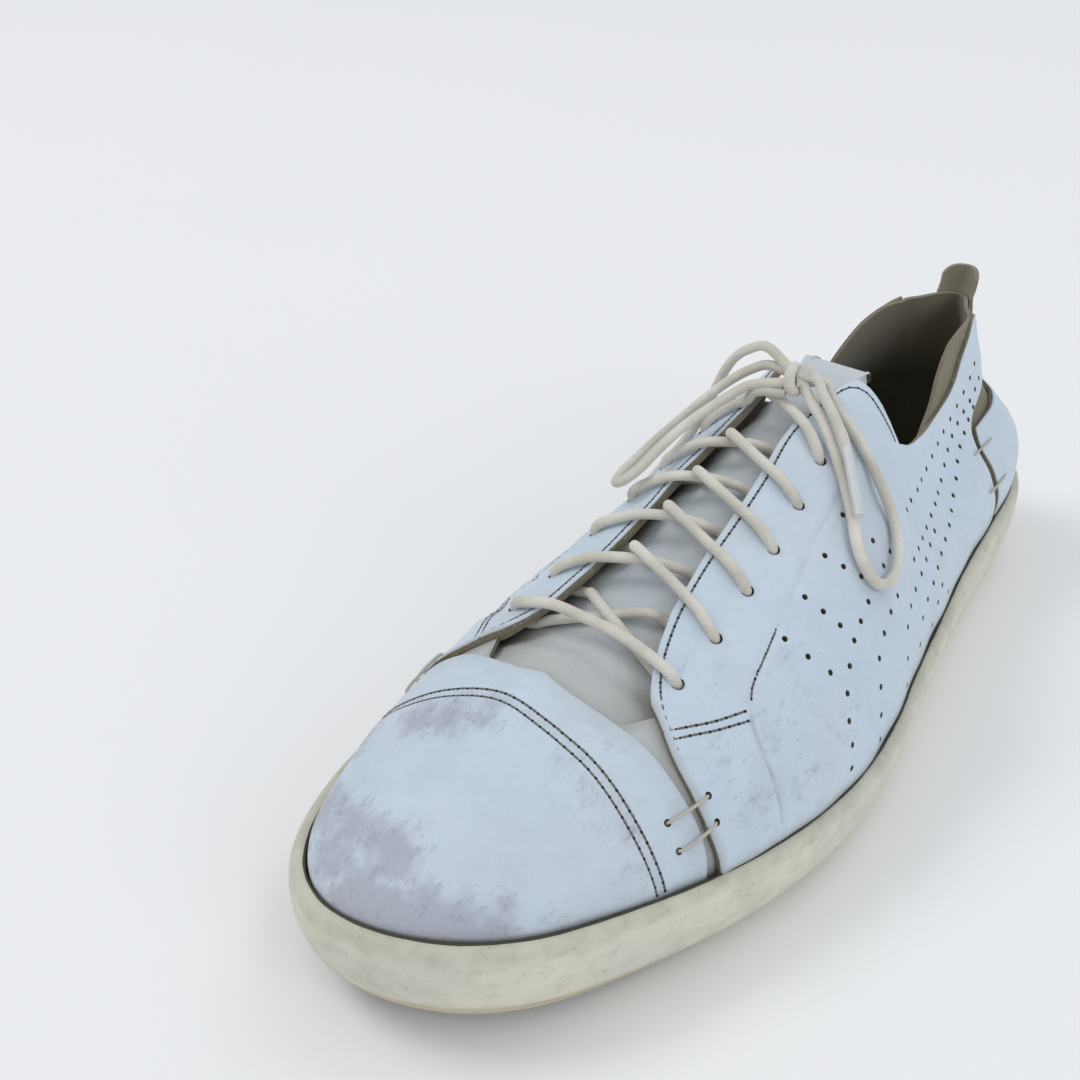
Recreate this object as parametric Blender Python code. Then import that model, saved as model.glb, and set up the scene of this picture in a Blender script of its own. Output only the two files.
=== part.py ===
"""A worn leather sneaker for the left foot: solids of its sole, upper, tongue, insole, heel and laces.

Metres. The shoe stands on z = 0 with its toe towards -y and its outer side towards +x. The heel's
middle is over the origin. Every soft piece is a grid on one last: u goes round the rim from the
heel by the outer side to the toe and back, and v goes up the side from the rim (0) to the ridge (1).
"""
import math

import bmesh
import bpy
import numpy as np

# sizes of the last
LENGTH = 0.296
BALL_WIDTH = 0.107
HEEL_Y = 0.045
WALL = 0.0030
RECESS = 0.0010
HEEL_RECESS = 0.0018
GAP = 0.0004
FINE = 720

# plan of the rim as (share of length from the heel, share of ball width)
OUTER_SIDE = [
    (0.000, 0.000), (0.010, 0.130), (0.035, 0.235), (0.090, 0.310), (0.170, 0.345), (0.270, 0.382),
    (0.360, 0.428), (0.450, 0.475), (0.530, 0.522), (0.610, 0.542), (0.690, 0.522), (0.770, 0.468),
    (0.850, 0.385), (0.920, 0.290), (0.965, 0.180), (0.992, 0.050),
]
INNER_SIDE = [
    (1.000, -0.065), (0.991, -0.160), (0.965, -0.243), (0.910, -0.330), (0.840, -0.392), (0.750, -0.430),
    (0.670, -0.425), (0.580, -0.380), (0.480, -0.340), (0.380, -0.320), (0.280, -0.325), (0.180, -0.335),
    (0.090, -0.305), (0.035, -0.235), (0.010, -0.130),
]
# heights along the length: top of the sole's wall, ridge of the last, cup floor, underside
RIM = [
    (0.00, 0.0290), (0.25, 0.0255), (0.45, 0.0235), (0.62, 0.0230), (0.78, 0.0252), (0.90, 0.0285),
    (1.00, 0.0318),
]
CREST = [
    (0.00, 0.1010), (0.20, 0.1010), (0.32, 0.0965), (0.42, 0.0895), (0.48, 0.0845), (0.56, 0.0765),
    (0.65, 0.0670), (0.73, 0.0590), (0.80, 0.0530), (0.86, 0.0490), (0.93, 0.0455), (1.00, 0.0430),
]
FLOOR = [
    (0.00, 0.0120), (0.25, 0.0110), (0.50, 0.0085), (0.70, 0.0080), (0.82, 0.0100), (0.92, 0.0150),
    (1.00, 0.0210),
]
UNDERSIDE = [
    (0.00, 0.0012), (0.05, 0.0), (0.10, 0.0), (0.66, 0.0), (0.71, 0.0), (0.78, 0.0006), (0.86, 0.0020),
    (0.93, 0.0040), (1.00, 0.0062),
]
RIDGE_X = [(0.00, 0.0), (0.30, -0.002), (0.50, -0.004), (0.70, -0.003), (0.82, -0.003), (1.00, -0.004)]
# how far the heel's side has come in at a share of the height
HEEL_SIDE = [
    (0.00, 1.000), (0.08, 1.012), (0.17, 0.990), (0.25, 0.930), (0.33, 0.820), (0.41, 0.705), (0.50, 0.620),
    (0.62, 0.545), (0.72, 0.490), (0.80, 0.450), (1.00, 0.380),
]
HEEL_POLE = 0.130
TOE_POLE = 0.800
TOE_STOP = 0.787
POLE_SOFT = 0.050

# edges of the upper, as (v, u) lines and as (u, v) tops, on the outer side
BACK_EDGE = [
    (0.00, 0.1000), (0.06, 0.1028), (0.125, 0.1060), (0.18, 0.1069), (0.233, 0.1074), (0.27, 0.1035),
    (0.30, 0.0951), (0.34, 0.0740), (0.40, 0.0610), (0.50, 0.0560), (0.60, 0.0510), (1.00, 0.0450),
]
FRONT_EDGE = [
    (0.00, 0.3722), (0.26, 0.3736), (0.38, 0.3729), (0.56, 0.3694), (0.65, 0.3646), (0.72, 0.3611),
    (1.00, 0.3500),
]
VAMP_EDGE = [(0.00, 0.3790), (0.45, 0.3765), (0.60, 0.3760), (0.83, 0.3825), (1.00, 0.3900)]
COLLAR = [
    (0.000, 0.575), (0.050, 0.578), (0.0736, 0.555), (0.0931, 0.496), (0.1076, 0.438), (0.1271, 0.402),
    (0.1389, 0.396), (0.1576, 0.412), (0.1757, 0.458), (0.1895, 0.530),
]
EYESTAY = [
    (0.1925, 0.895), (0.2100, 0.905), (0.2285, 0.900), (0.2500, 0.875), (0.2700, 0.863), (0.3020, 0.856),
    (0.3260, 0.832), (0.3465, 0.775), (0.3611, 0.720), (0.600, 0.720),
]
NOTCH = (0.1895, 0.1925)
LOW_ROWS = [0.0, 0.065, 0.130, 0.195, 0.260]

# eyelets as (u, v), from the toe back
OUTER_EYELETS = [
    (0.3479, 0.683), (0.3243, 0.692), (0.3014, 0.708), (0.2812, 0.717), (0.2590, 0.729),
    (0.2361, 0.750),
]
INNER_EYELETS = [
    (0.6549, 0.640), (0.6750, 0.679), (0.7007, 0.665), (0.7222, 0.675), (0.7410, 0.696),
    (0.7635, 0.720),
]
EYELET_RADIUS = 0.0017
EYELET_OUT = 0.004
EYELET_DEEP = 0.007

# lace sizes and the bow's routes as (u, v, lift)
LACE_RADIUS = 0.0015
AGLET_RADIUS = 0.0013
AGLET_LONG = 0.020
KNOT_CENTRE = (0.0022, -0.0835, 0.0962)
KNOT_RADIUS = 0.0032
KNOT_LONG = 0.0060
RIGHT_LOOP = [
    (0.2085, 0.92, 0.0046), (0.2110, 0.87, 0.0034), (0.2140, 0.81, 0.0025), (0.2170, 0.69, 0.0021),
    (0.2220, 0.57, 0.0021), (0.2260, 0.48, 0.0021), (0.2320, 0.42, 0.0021), (0.2380, 0.395, 0.0021),
    (0.2440, 0.388, 0.0021), (0.2520, 0.400, 0.0021), (0.2570, 0.430, 0.0021), (0.2580, 0.470, 0.0021),
    (0.2565, 0.515, 0.0021), (0.2530, 0.55, 0.0021), (0.2470, 0.59, 0.0021), (0.2380, 0.66, 0.0021),
    (0.2310, 0.73, 0.0024), (0.2240, 0.82, 0.0034), (0.2200, 0.90, 0.0050),
]
RIGHT_END = [
    (0.2140, 0.92, 0.0084), (0.2170, 0.88, 0.0074), (0.2210, 0.82, 0.0066), (0.2260, 0.75, 0.0058),
    (0.2290, 0.72, 0.0056),
]
RIGHT_AGLET = [(0.2295, 0.715, 0.0056), (0.2480, 0.590, 0.0053)]
LEFT_LOOP = [
    (0.7860, 1.000, 0.0088), (0.7840, 0.930, 0.0078), (0.7790, 0.850, 0.0072), (0.7710, 0.780, 0.0070),
    (0.7610, 0.720, 0.0068), (0.7500, 0.670, 0.0068), (0.7380, 0.650, 0.0068), (0.7270, 0.660, 0.0068),
    (0.7190, 0.700, 0.0068), (0.7185, 0.745, 0.0068), (0.7250, 0.775, 0.0068), (0.7360, 0.780, 0.0068),
    (0.7480, 0.800, 0.0068), (0.7590, 0.850, 0.0068), (0.7690, 0.910, 0.0068), (0.7760, 0.970, 0.0070),
]
LEFT_END = [
    (0.7900, 0.980, 0.0125), (0.7905, 0.900, 0.0112), (0.7900, 0.830, 0.0100), (0.7880, 0.760, 0.0084),
    (0.7850, 0.690, 0.0064), (0.7800, 0.620, 0.0044), (0.7740, 0.550, 0.0026), (0.7660, 0.480, 0.0021),
    (0.7580, 0.410, 0.0021), (0.7500, 0.350, 0.0021), (0.7430, 0.300, 0.0021),
]
LEFT_AGLET = [(0.7420, 0.292, 0.0021), (0.7180, 0.150, 0.0021)]

# tongue, which lies higher where it runs under the vamp
TONGUE_LIFT = -0.0078
TONGUE_TOE_LIFT = -0.0034
TONGUE_THICK = 0.0025
TONGUE_U = [0.178, 0.196, 0.214, 0.234, 0.254, 0.276, 0.298, 0.320, 0.342, 0.358, 0.372, 0.386, 0.398]
TONGUE_V = [0.60, 0.70, 0.80, 0.88, 0.95, 1.0]

# sole wall: tuck of the lower edge, rise of the arch, bulge of the wall and of the toe
LOWER_TUCK = 0.0052
ARCH_RISE = 0.0022
WALL_BULGE = 0.0006
TOE_BULGE = 0.0012
# tread grooves as (share of length from the heel, width)
TREAD = [
    (0.085, 0.050), (0.135, 0.056), (0.185, 0.058), (0.54, 0.078), (0.59, 0.084), (0.64, 0.086),
    (0.69, 0.082),
]
TREAD_LONG = 0.0032
TREAD_DEEP = 0.0018

# insole and heel pieces
INSOLE_THICK = 0.0035
INSOLE_INSET = 0.0039
INSOLE_EDGE = 0.0008
COUNTER_THICK = 0.0013
COUNTER_REACH = 4.86
STRIP_THICK = 0.0013
STRIP_COLUMNS = 1.40
TAB_TOP = 0.0935
TAB_LEAN = 0.0018


def blend(t):
    t = np.clip(t, 0.0, 1.0)
    return t * t * (3.0 - 2.0 * t)


def lookup(rows, s):
    """Smooth curve through hand-chosen rows."""
    s = np.asarray(s, dtype=float)
    xs = np.array([row[0] for row in rows])
    ys = np.array([row[1] for row in rows])
    slope = np.gradient(ys, xs)
    i = np.clip(np.searchsorted(xs, s, side="right") - 1, 0, len(xs) - 2)
    h = xs[i + 1] - xs[i]
    t = np.clip((s - xs[i]) / h, 0.0, 1.0)
    rise = (1.0 - t) ** 2 * ((1.0 + 2.0 * t) * ys[i] + t * h * slope[i])
    fall = t ** 2 * ((3.0 - 2.0 * t) * ys[i + 1] - (1.0 - t) * h * slope[i + 1])
    return rise + fall


def closed_curve(rows, count):
    """Even points on the smooth closed curve through the rows."""
    points = np.array(rows, dtype=float)
    total = len(points)
    dense = []
    for k in range(total):
        p0, p1, p2, p3 = (points[(k + step) % total] for step in (-1, 0, 1, 2))
        a = np.linalg.norm(p1 - p0) ** 0.5
        b = np.linalg.norm(p2 - p1) ** 0.5
        c = np.linalg.norm(p3 - p2) ** 0.5
        start = ((p1 - p0) / a - (p2 - p0) / (a + b) + (p2 - p1) / b) * b
        end = ((p2 - p1) / b - (p3 - p1) / (b + c) + (p3 - p2) / c) * b
        for t in np.linspace(0.0, 1.0, 24, endpoint=False):
            first = (1.0 - t) ** 2 * ((1.0 + 2.0 * t) * p1 + t * start)
            second = t ** 2 * ((3.0 - 2.0 * t) * p2 - (1.0 - t) * end)
            dense.append(first + second)
    dense = np.array(dense)
    loop = np.vstack([dense, dense[:1]])
    along = np.r_[0.0, np.cumsum(np.linalg.norm(np.diff(loop, axis=0), axis=1))]
    even = np.linspace(0.0, along[-1], count, endpoint=False)
    return np.stack([np.interp(even, along, loop[:, k]) for k in range(2)], axis=1)


PLAN = closed_curve([(s * LENGTH, x * BALL_WIDTH) for s, x in OUTER_SIDE + INNER_SIDE], FINE)
ACROSS = np.roll(PLAN, -3, axis=0) - np.roll(PLAN, 3, axis=0)
OUTWARD = np.stack([-ACROSS[:, 1], ACROSS[:, 0]], axis=1) / np.linalg.norm(ACROSS, axis=1)[:, None]
TOE_U = int(PLAN[:, 0].argmax()) / FINE


def plan_point(u, outset=0.0):
    """Distance from the heel and x of the rim at u, moved outwards by outset."""
    place = np.mod(np.asarray(u, dtype=float), 1.0) * FINE
    index = np.arange(FINE + 1)
    values = []
    for table in (PLAN, OUTWARD):
        wrapped = np.vstack([table, table[:1]])
        values.append([np.interp(place, index, wrapped[:, k]) for k in range(2)])
    (s, x), (out_s, out_x) = values
    return s + out_s * outset, x + out_x * outset


def inner_u(u):
    """The u on the inner side with the same distance from the heel as u on the outer side."""
    half = np.arange(0, int(TOE_U * FINE) + 1)
    far = np.arange(FINE, int(TOE_U * FINE) - 1, -1)
    wrapped = np.vstack([PLAN, PLAN[:1]])
    distance = np.interp(np.asarray(u, dtype=float) * FINE, half, PLAN[half, 0])
    return np.interp(distance, wrapped[far, 0], far) / FINE


def outer_u(u):
    """The u on the outer side with the same distance from the heel as u on the inner side."""
    half = np.arange(0, int(TOE_U * FINE) + 1)
    distance = float(plan_point(u)[0])
    return np.interp(distance, PLAN[half, 0], half) / FINE


def bare_point(u, v):
    s, x = plan_point(u, -GAP)
    share = s / LENGTH
    spine = HEEL_POLE + POLE_SOFT * np.logaddexp(0.0, (share - HEEL_POLE) / POLE_SOFT)
    spine = TOE_POLE - POLE_SOFT * np.logaddexp(0.0, (TOE_POLE - spine) / POLE_SOFT)
    spine = np.minimum(spine, TOE_STOP)
    ridge = lookup(RIDGE_X, spine)
    angle = v * math.pi / 2.0
    toe = blend((share - 0.70) / 0.20)
    round_x = 2.0 + 0.35 * toe + 0.25 * (1.0 - blend((share - 0.20) / 0.30))
    round_z = 2.0 + 0.15 * toe
    height = np.sin(angle) ** (2.0 / round_z)
    reach = np.maximum(np.cos(angle), 0.0) ** (2.0 / round_x)
    heel = 1.0 - blend((share - 0.24) / 0.26)
    back = (1.0 - blend(np.abs(x) / 0.024)) * (1.0 - blend((share - 0.06) / 0.10))
    heel_reach = 1.0 - (1.0 - lookup(HEEL_SIDE, height)) * (1.0 - 0.45 * back)
    reach = reach * (1.0 - heel) + heel_reach * heel
    along = spine * LENGTH + (s - spine * LENGTH) * reach
    low = lookup(RIM, share)
    high = lookup(CREST, along / LENGTH)
    return np.stack([ridge + (x - ridge) * reach, HEEL_Y - along, low + (high - low) * height], axis=-1)


def upper_point(u, v, lift=0.0):
    """Point on the last's face, moved outwards by lift."""
    u = np.asarray(u, dtype=float)
    v = np.asarray(v, dtype=float)
    step = 0.002
    round_way = bare_point(u + step, v) - bare_point(u - step, v)
    up_way = bare_point(u, np.minimum(v + step, 1.0)) - bare_point(u, np.maximum(v - step, 0.0))
    normal = np.cross(up_way, round_way)
    top = np.broadcast_to(v, normal.shape[:-1]) > 0.999
    normal[..., 0] = np.where(top, 0.0, normal[..., 0])
    normal /= np.maximum(np.linalg.norm(normal, axis=-1, keepdims=True), 1e-12)
    turned = np.where(top & (normal[..., 2] < 0.0), -1.0, 1.0)
    normal *= turned[..., None]
    return bare_point(u, v) + normal * np.asarray(lift, dtype=float)[..., None]


def material(name, colour, roughness):
    shader = bpy.data.materials.new(name)
    shader.use_nodes = True
    principled = shader.node_tree.nodes["Principled BSDF"]
    principled.inputs["Base Color"].default_value = (*colour, 1.0)
    principled.inputs["Roughness"].default_value = roughness
    return shader


def mesh_object(name, points, faces, shader):
    """Object from points and faces. Equal points become one and faces turn outwards."""
    keys = {}
    kept = []
    index = []
    for point in points:
        key = tuple(int(round(c * 1e7)) for c in point)
        if key not in keys:
            keys[key] = len(kept)
            kept.append(tuple(float(c) for c in point))
        index.append(keys[key])
    clean = []
    for face in faces:
        corners = []
        for corner in (index[k] for k in face):
            if corner not in corners:
                corners.append(corner)
        if len(corners) > 2:
            clean.append(corners)
    mesh = bpy.data.meshes.new(name)
    mesh.from_pydata(kept, [], clean)
    work = bmesh.new()
    work.from_mesh(mesh)
    bmesh.ops.triangulate(work, faces=work.faces[:])
    bmesh.ops.recalc_face_normals(work, faces=work.faces[:])
    if work.calc_volume(signed=True) < 0.0:
        bmesh.ops.reverse_faces(work, faces=work.faces[:])
    work.to_mesh(mesh)
    work.free()
    mesh.materials.append(shader)
    made = bpy.data.objects.new(name, mesh)
    bpy.context.collection.objects.link(made)
    return made


def shell(name, outer, inner, shader, used=None, wrap=False, ridge=None):
    """Closed solid between two grids of the same size. used says which cells are there.

    ridge is the row that the two sides of a wrapped grid share, which needs no wall.
    """
    columns, rows = outer.shape[:2]
    span = columns if wrap else columns - 1
    if used is None:
        used = np.ones((span, rows - 1), dtype=bool)
    points = [tuple(p) for p in outer.reshape(-1, 3)] + [tuple(p) for p in inner.reshape(-1, 3)]
    shift = columns * rows

    def at(column, row):
        return (column % columns) * rows + row

    def there(column, row):
        if wrap:
            column = column % columns
        return 0 <= column < span and 0 <= row < rows - 1 and used[column, row]

    faces = []
    for c in range(span):
        for r in range(rows - 1):
            if not used[c, r]:
                continue
            ring = [at(c, r), at(c + 1, r), at(c + 1, r + 1), at(c, r + 1)]
            faces.append(ring)
            faces.append([k + shift for k in reversed(ring)])
            sides = [(c, r - 1, 0, 1), (c + 1, r, 1, 2), (c, r + 1, 2, 3), (c - 1, r, 3, 0)]
            for near_c, near_r, first, second in sides:
                if there(near_c, near_r):
                    continue
                a, b = ring[first], ring[second]
                if a % rows == b % rows == ridge:
                    continue
                faces.append([b, a, a + shift, b + shift])
    return mesh_object(name, points, faces, shader)


def column_u(v):
    """u of every column at height v, heel to toe on the outer side and back on the inner side."""
    back = float(lookup(BACK_EDGE, v))
    front = float(lookup(FRONT_EDGE, v))
    vamp = float(lookup(VAMP_EDGE, v))
    side = [back * k / 5.0 for k in range(6)]
    side += [back + 0.0008 + (NOTCH[0] - back - 0.0008) * k / 6.0 for k in range(7)]
    side += [NOTCH[1] + (front - NOTCH[1]) * k / 10.0 for k in range(11)]
    side += [front + 0.0008]
    side += [vamp + (TOE_U - vamp) * k / 9.0 for k in range(10)]
    inner = [float(inner_u(k)) for k in reversed(side[1:-1])]
    return side + inner


def upper_lift():
    """Lift of the outer face per column: set in behind the back edge and in front of the front edge."""
    half = [-HEEL_RECESS] * 6 + [0.0] * 18 + [-RECESS] * 11
    return half + list(reversed(half[1:-1]))


def top_of(u, column):
    """v of the top edge of the upper for a column of the outer half."""
    if column <= 12:
        return float(lookup(COLLAR, min(u, NOTCH[0])))
    return float(lookup(EYESTAY, u))


def make_upper(shader):
    """One hollow body: quarters over the heel's lining and over the vamp, open at collar and throat."""
    half = 34
    count = 2 * half
    lifts = upper_lift()
    vamp_first = 25
    rows = []
    for c in range(count):
        mate = c if c <= half else count - c
        u = column_u(0.5)[mate]
        top = top_of(u, mate)
        low = list(LOW_ROWS)
        high = [low[-1] + (top - low[-1]) * k / 5.0 for k in range(1, 6)]
        cap = [top + (1.0 - top) * k / 4.0 for k in range(1, 5)]
        rows.append(low + high + cap)
    total = len(rows[0])
    outer = np.zeros((count, total + 1, 3))
    inner = np.zeros((count, total + 1, 3))
    for c in range(count):
        for r, v in enumerate(rows[c]):
            u = column_u(v)[c]
            outer[c, r + 1] = upper_point(u, v, lifts[c])
            inner[c, r + 1] = upper_point(u, v, -WALL)
        share = float(plan_point(column_u(0.0)[c])[0]) / LENGTH
        foot = float(lookup(FLOOR, share)) + GAP
        for grid in (outer, inner):
            grid[c, 0] = grid[c, 1]
            grid[c, 0, 2] = foot
            if c > half:
                grid[c, total] = grid[count - c, total]
    used = np.ones((count, total), dtype=bool)
    for c in range(count):
        beyond = vamp_first <= c and c + 1 <= count - vamp_first
        used[c, 10:] = beyond
    body = shell("upper", outer, inner, shader, used, wrap=True, ridge=total)
    cut(body, eyelet_cutter())
    return body


def tube_points(path, radius, sides, turn=0.0):
    """Rings of a round tube along a path, with no twist."""
    path = np.array(path, dtype=float)
    tangent = np.gradient(path, axis=0)
    tangent /= np.linalg.norm(tangent, axis=1)[:, None]
    side = np.cross(tangent[0], (0.0, 0.0, 1.0))
    if np.linalg.norm(side) < 0.1:
        side = np.cross(tangent[0], (1.0, 0.0, 0.0))
    rings = []
    for point, ahead in zip(path, tangent):
        side = side - ahead * np.dot(side, ahead)
        side /= np.linalg.norm(side)
        other = np.cross(ahead, side)
        ring = []
        for k in range(sides):
            angle = turn + 2.0 * math.pi * k / sides
            ring.append(point + radius * (math.cos(angle) * side + math.sin(angle) * other))
        rings.append(ring)
    return rings


def tube(name, path, radius, sides, shader):
    rings = tube_points(path, radius, sides)
    points = [tuple(p) for ring in rings for p in ring]
    faces = []
    for r in range(len(rings) - 1):
        for k in range(sides):
            n = (k + 1) % sides
            faces.append([r * sides + k, r * sides + n, (r + 1) * sides + n, (r + 1) * sides + k])
    faces.append(list(reversed(range(sides))))
    faces.append([(len(rings) - 1) * sides + k for k in range(sides)])
    return mesh_object(name, points, faces, shader)


def eyelet_cutter():
    """All twelve eyelets as one cutter."""
    sides = 8
    points = []
    faces = []
    for u, v in OUTER_EYELETS + INNER_EYELETS:
        first = upper_point(u, v, EYELET_OUT)
        last = upper_point(u, v, -EYELET_DEEP)
        base = len(points)
        for ring in tube_points([first, last], EYELET_RADIUS, sides):
            points.extend(tuple(p) for p in ring)
        for k in range(sides):
            n = (k + 1) % sides
            faces.append([base + k, base + n, base + sides + n, base + sides + k])
        faces.append([base + k for k in reversed(range(sides))])
        faces.append([base + sides + k for k in range(sides)])
    return mesh_object("eyelet_cutter", points, faces, material("cutter", (0.5, 0.5, 0.5), 0.5))


def apply_boolean(body, other, operation):
    """Boolean worked out at once, so that each node is plain mesh, and the other object goes."""
    change = body.modifiers.new(operation.lower(), "BOOLEAN")
    change.operation = operation
    change.solver = "EXACT"
    change.object = other
    bpy.context.view_layer.update()
    evaluated = body.evaluated_get(bpy.context.evaluated_depsgraph_get())
    mesh = bpy.data.meshes.new_from_object(evaluated)
    body.modifiers.clear()
    body.data = mesh
    bpy.data.objects.remove(other, do_unlink=True)


def cut(body, cutter):
    apply_boolean(body, cutter, "DIFFERENCE")


def side_pair(outer_values):
    return list(outer_values) + [float(inner_u(k)) for k in reversed(outer_values[1:-1])]


def spine_of(s):
    """Distance from the heel and x of the middle line that a rim point at s is joined to."""
    spine = round(min(max(s / LENGTH, 0.11), 0.80) * LENGTH, 6)
    return spine, float(lookup(RIDGE_X, spine / LENGTH))


def wall_profile(share):
    """(outset, height) points up the outside of the sole's wall and down into the cup."""
    low = float(lookup(UNDERSIDE, share))
    rim = float(lookup(RIM, share))
    toe = float(blend((share - 0.75) / 0.20))
    bulge = WALL_BULGE + TOE_BULGE * toe
    tuck = 1.0 - 0.5 * toe
    return [
        (-LOWER_TUCK * tuck, low + 0.4 * arch_rise(share)),
        (-0.5 * LOWER_TUCK * tuck, low + 0.0014),
        (-0.0006 * tuck, low + 0.0042),
        (0.0004 * tuck + 0.5 * bulge, low + 0.0065),
        (0.5 * bulge, low + 0.0071),
        (0.0010 + 0.6 * bulge, low + 0.0078),
        (0.0020 + bulge, low + 0.62 * (rim - low)),
        (0.0024 + 0.8 * bulge, rim - 0.0036),
        (0.0021 + 0.5 * bulge, rim - 0.0010),
        (0.0010 + 0.3 * bulge, rim + 0.0002),
        (0.0, rim),
        (0.0, float(lookup(FLOOR, share))),
    ]


def arch_rise(share):
    """How far the underside is hollowed at the arch."""
    return ARCH_RISE * float(blend((share - 0.24) / 0.10) * (1.0 - blend((share - 0.46) / 0.10)))


def make_sole(shader):
    """Cupsole: sidewall with a lip and a low groove, cup, arch, toe spring and tread."""
    rings = []
    for u in side_pair([TOE_U * k / 32.0 for k in range(33)]):
        s, x = (float(k) for k in plan_point(u))
        spine, ridge = spine_of(s)

        def inside(reach, heights, rise):
            along = spine + (s - spine) * reach
            height = float(lookup(heights, along / LENGTH)) + rise
            return (ridge + (x - ridge) * reach, HEEL_Y - along, height)

        arch = arch_rise(s / LENGTH)
        column = [inside(0.0, UNDERSIDE, arch), inside(0.55, UNDERSIDE, arch)]
        for outset, z in wall_profile(s / LENGTH):
            along, across = (float(k) for k in plan_point(u, outset))
            column.append((across, HEEL_Y - along, z))
        column += [inside(0.5, FLOOR, 0.0), inside(0.0, FLOOR, 0.0)]
        rings.append(column)
    rows = len(rings[0])
    points = [p for ring in rings for p in ring]
    faces = []
    for c in range(len(rings)):
        n = (c + 1) % len(rings)
        for r in range(rows - 1):
            faces.append([c * rows + r, n * rows + r, n * rows + r + 1, c * rows + r + 1])
    body = mesh_object("sole", points, faces, shader)
    cut(body, tread_cutter())
    return body


def tread_cutter():
    """Cross grooves under the forefoot and the heel, between the main lugs."""
    points = []
    faces = []
    for share, width in TREAD:
        middle = 0.002 if share > 0.4 else 0.0
        x0, x1 = middle - width / 2.0, middle + width / 2.0
        y0 = HEEL_Y - share * LENGTH - TREAD_LONG / 2.0
        y1 = y0 + TREAD_LONG
        base = len(points)
        for z in (-0.002, TREAD_DEEP):
            points += [(x0, y0, z), (x1, y0, z), (x1, y1, z), (x0, y1, z)]
        for ring in ((3, 2, 1, 0), (4, 5, 6, 7), (0, 1, 5, 4), (1, 2, 6, 5), (2, 3, 7, 6), (3, 0, 4, 7)):
            faces.append([base + k for k in ring])
    return mesh_object("tread_cutter", points, faces, material("tread", (0.5, 0.5, 0.5), 0.5))


def make_insole(shader):
    """Footbed on the cup floor, inside the upper."""
    grid_top = []
    grid_low = []
    for u in side_pair([TOE_U * k / 24.0 for k in range(25)]):
        s, x = (float(k) for k in plan_point(u, -INSOLE_INSET))
        spine, ridge = spine_of(float(plan_point(u)[0]))
        top, low = [], []
        for reach in (1.0, 0.5, 0.0):
            ps = spine + (s - spine) * reach
            px = ridge + (x - ridge) * reach
            z = float(lookup(FLOOR, ps / LENGTH)) + GAP
            edge = INSOLE_EDGE if reach == 1.0 else 0.0
            low.append((px, HEEL_Y - ps, z))
            top.append((px, HEEL_Y - ps, z + INSOLE_THICK - edge))
        grid_top.append(top)
        grid_low.append(low)
    return shell("insole", np.array(grid_top), np.array(grid_low), shader, wrap=True, ridge=2)


def make_tongue(shader):
    """Tongue under the throat, from beneath the vamp to just behind the eyestay's top."""
    outer, inner = [], []
    for u in TONGUE_U:
        drop = TONGUE_LIFT + (TONGUE_TOE_LIFT - TONGUE_LIFT) * float(blend((u - 0.345) / 0.035))
        narrow = 0.06 * float(blend((0.22 - u) / 0.05))
        heights = [v + narrow * (1.0 - v) / 0.4 for v in TONGUE_V]
        line = [(u, v) for v in heights] + [(float(inner_u(u)), v) for v in reversed(heights[:-1])]
        outer.append([upper_point(a, b, drop) for a, b in line])
        inner.append([upper_point(a, b, drop - TONGUE_THICK) for a, b in line])
    return shell("tongue", np.array(outer), np.array(inner), shader)


def heel_point(column, row, lift):
    """Point over the upper's own facets at the heel. Whole columns and rows are the upper's."""
    top = float(lookup(COLLAR, 0.0))
    levels = LOW_ROWS + [LOW_ROWS[-1] + (top - LOW_ROWS[-1]) * k / 5.0 for k in range(1, 6)]
    r = min(int(row), len(levels) - 2)
    c = math.floor(column)
    corners = []
    for v in levels[r:r + 2]:
        cell = float(lookup(BACK_EDGE, v)) / 5.0
        pair = []
        for k in (c, c + 1):
            u = k * cell if k >= 0 else float(inner_u(-k * cell))
            pair.append(upper_point(u, v, lift))
        corners.append(pair[0] + (pair[1] - pair[0]) * (column - c))
    return corners[0] + (corners[1] - corners[0]) * (row - r)


def make_counter(shader):
    """Heel counter outside the upper, between the back edges of the quarters."""
    low = -HEEL_RECESS + GAP
    outer, inner = [], []
    for column in [-COUNTER_REACH] + list(range(-4, 5)) + [COUNTER_REACH]:
        outer.append([heel_point(column, row, low + COUNTER_THICK) for row in (0.15, 1.0, 2.0, 3.0, 3.88)])
        inner.append([heel_point(column, row, low) for row in (0.15, 1.0, 2.0, 3.0, 3.88)])
    return shell("heel_counter", np.array(outer), np.array(inner), shader)


def make_strip(shader):
    """Suede strip up the middle of the heel, standing above the collar as a pull tab."""
    low = -HEEL_RECESS + GAP
    outer, inner = [], []
    for across in (-1.0, -0.72, -0.36, 0.0, 0.36, 0.72, 1.0):
        rows = (4.25, 5.0, 6.0, 7.0, 8.0, 9.0)
        outer_line = [heel_point(across * STRIP_COLUMNS, row, low + STRIP_THICK) for row in rows]
        inner_line = [heel_point(across * STRIP_COLUMNS, row, low) for row in rows]
        top_out, top_in = outer_line[-1], inner_line[-1]
        rise = TAB_TOP - float(top_out[2]) - 0.0030 * across ** 4
        for share in (0.35, 0.7, 1.0):
            step = np.array([0.0, TAB_LEAN * share, rise * share])
            outer_line.append(top_out + step)
            inner_line.append(top_in + step)
        outer.append(outer_line)
        inner.append(inner_line)
    return shell("heel_strip", np.array(outer), np.array(inner), shader)


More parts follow.
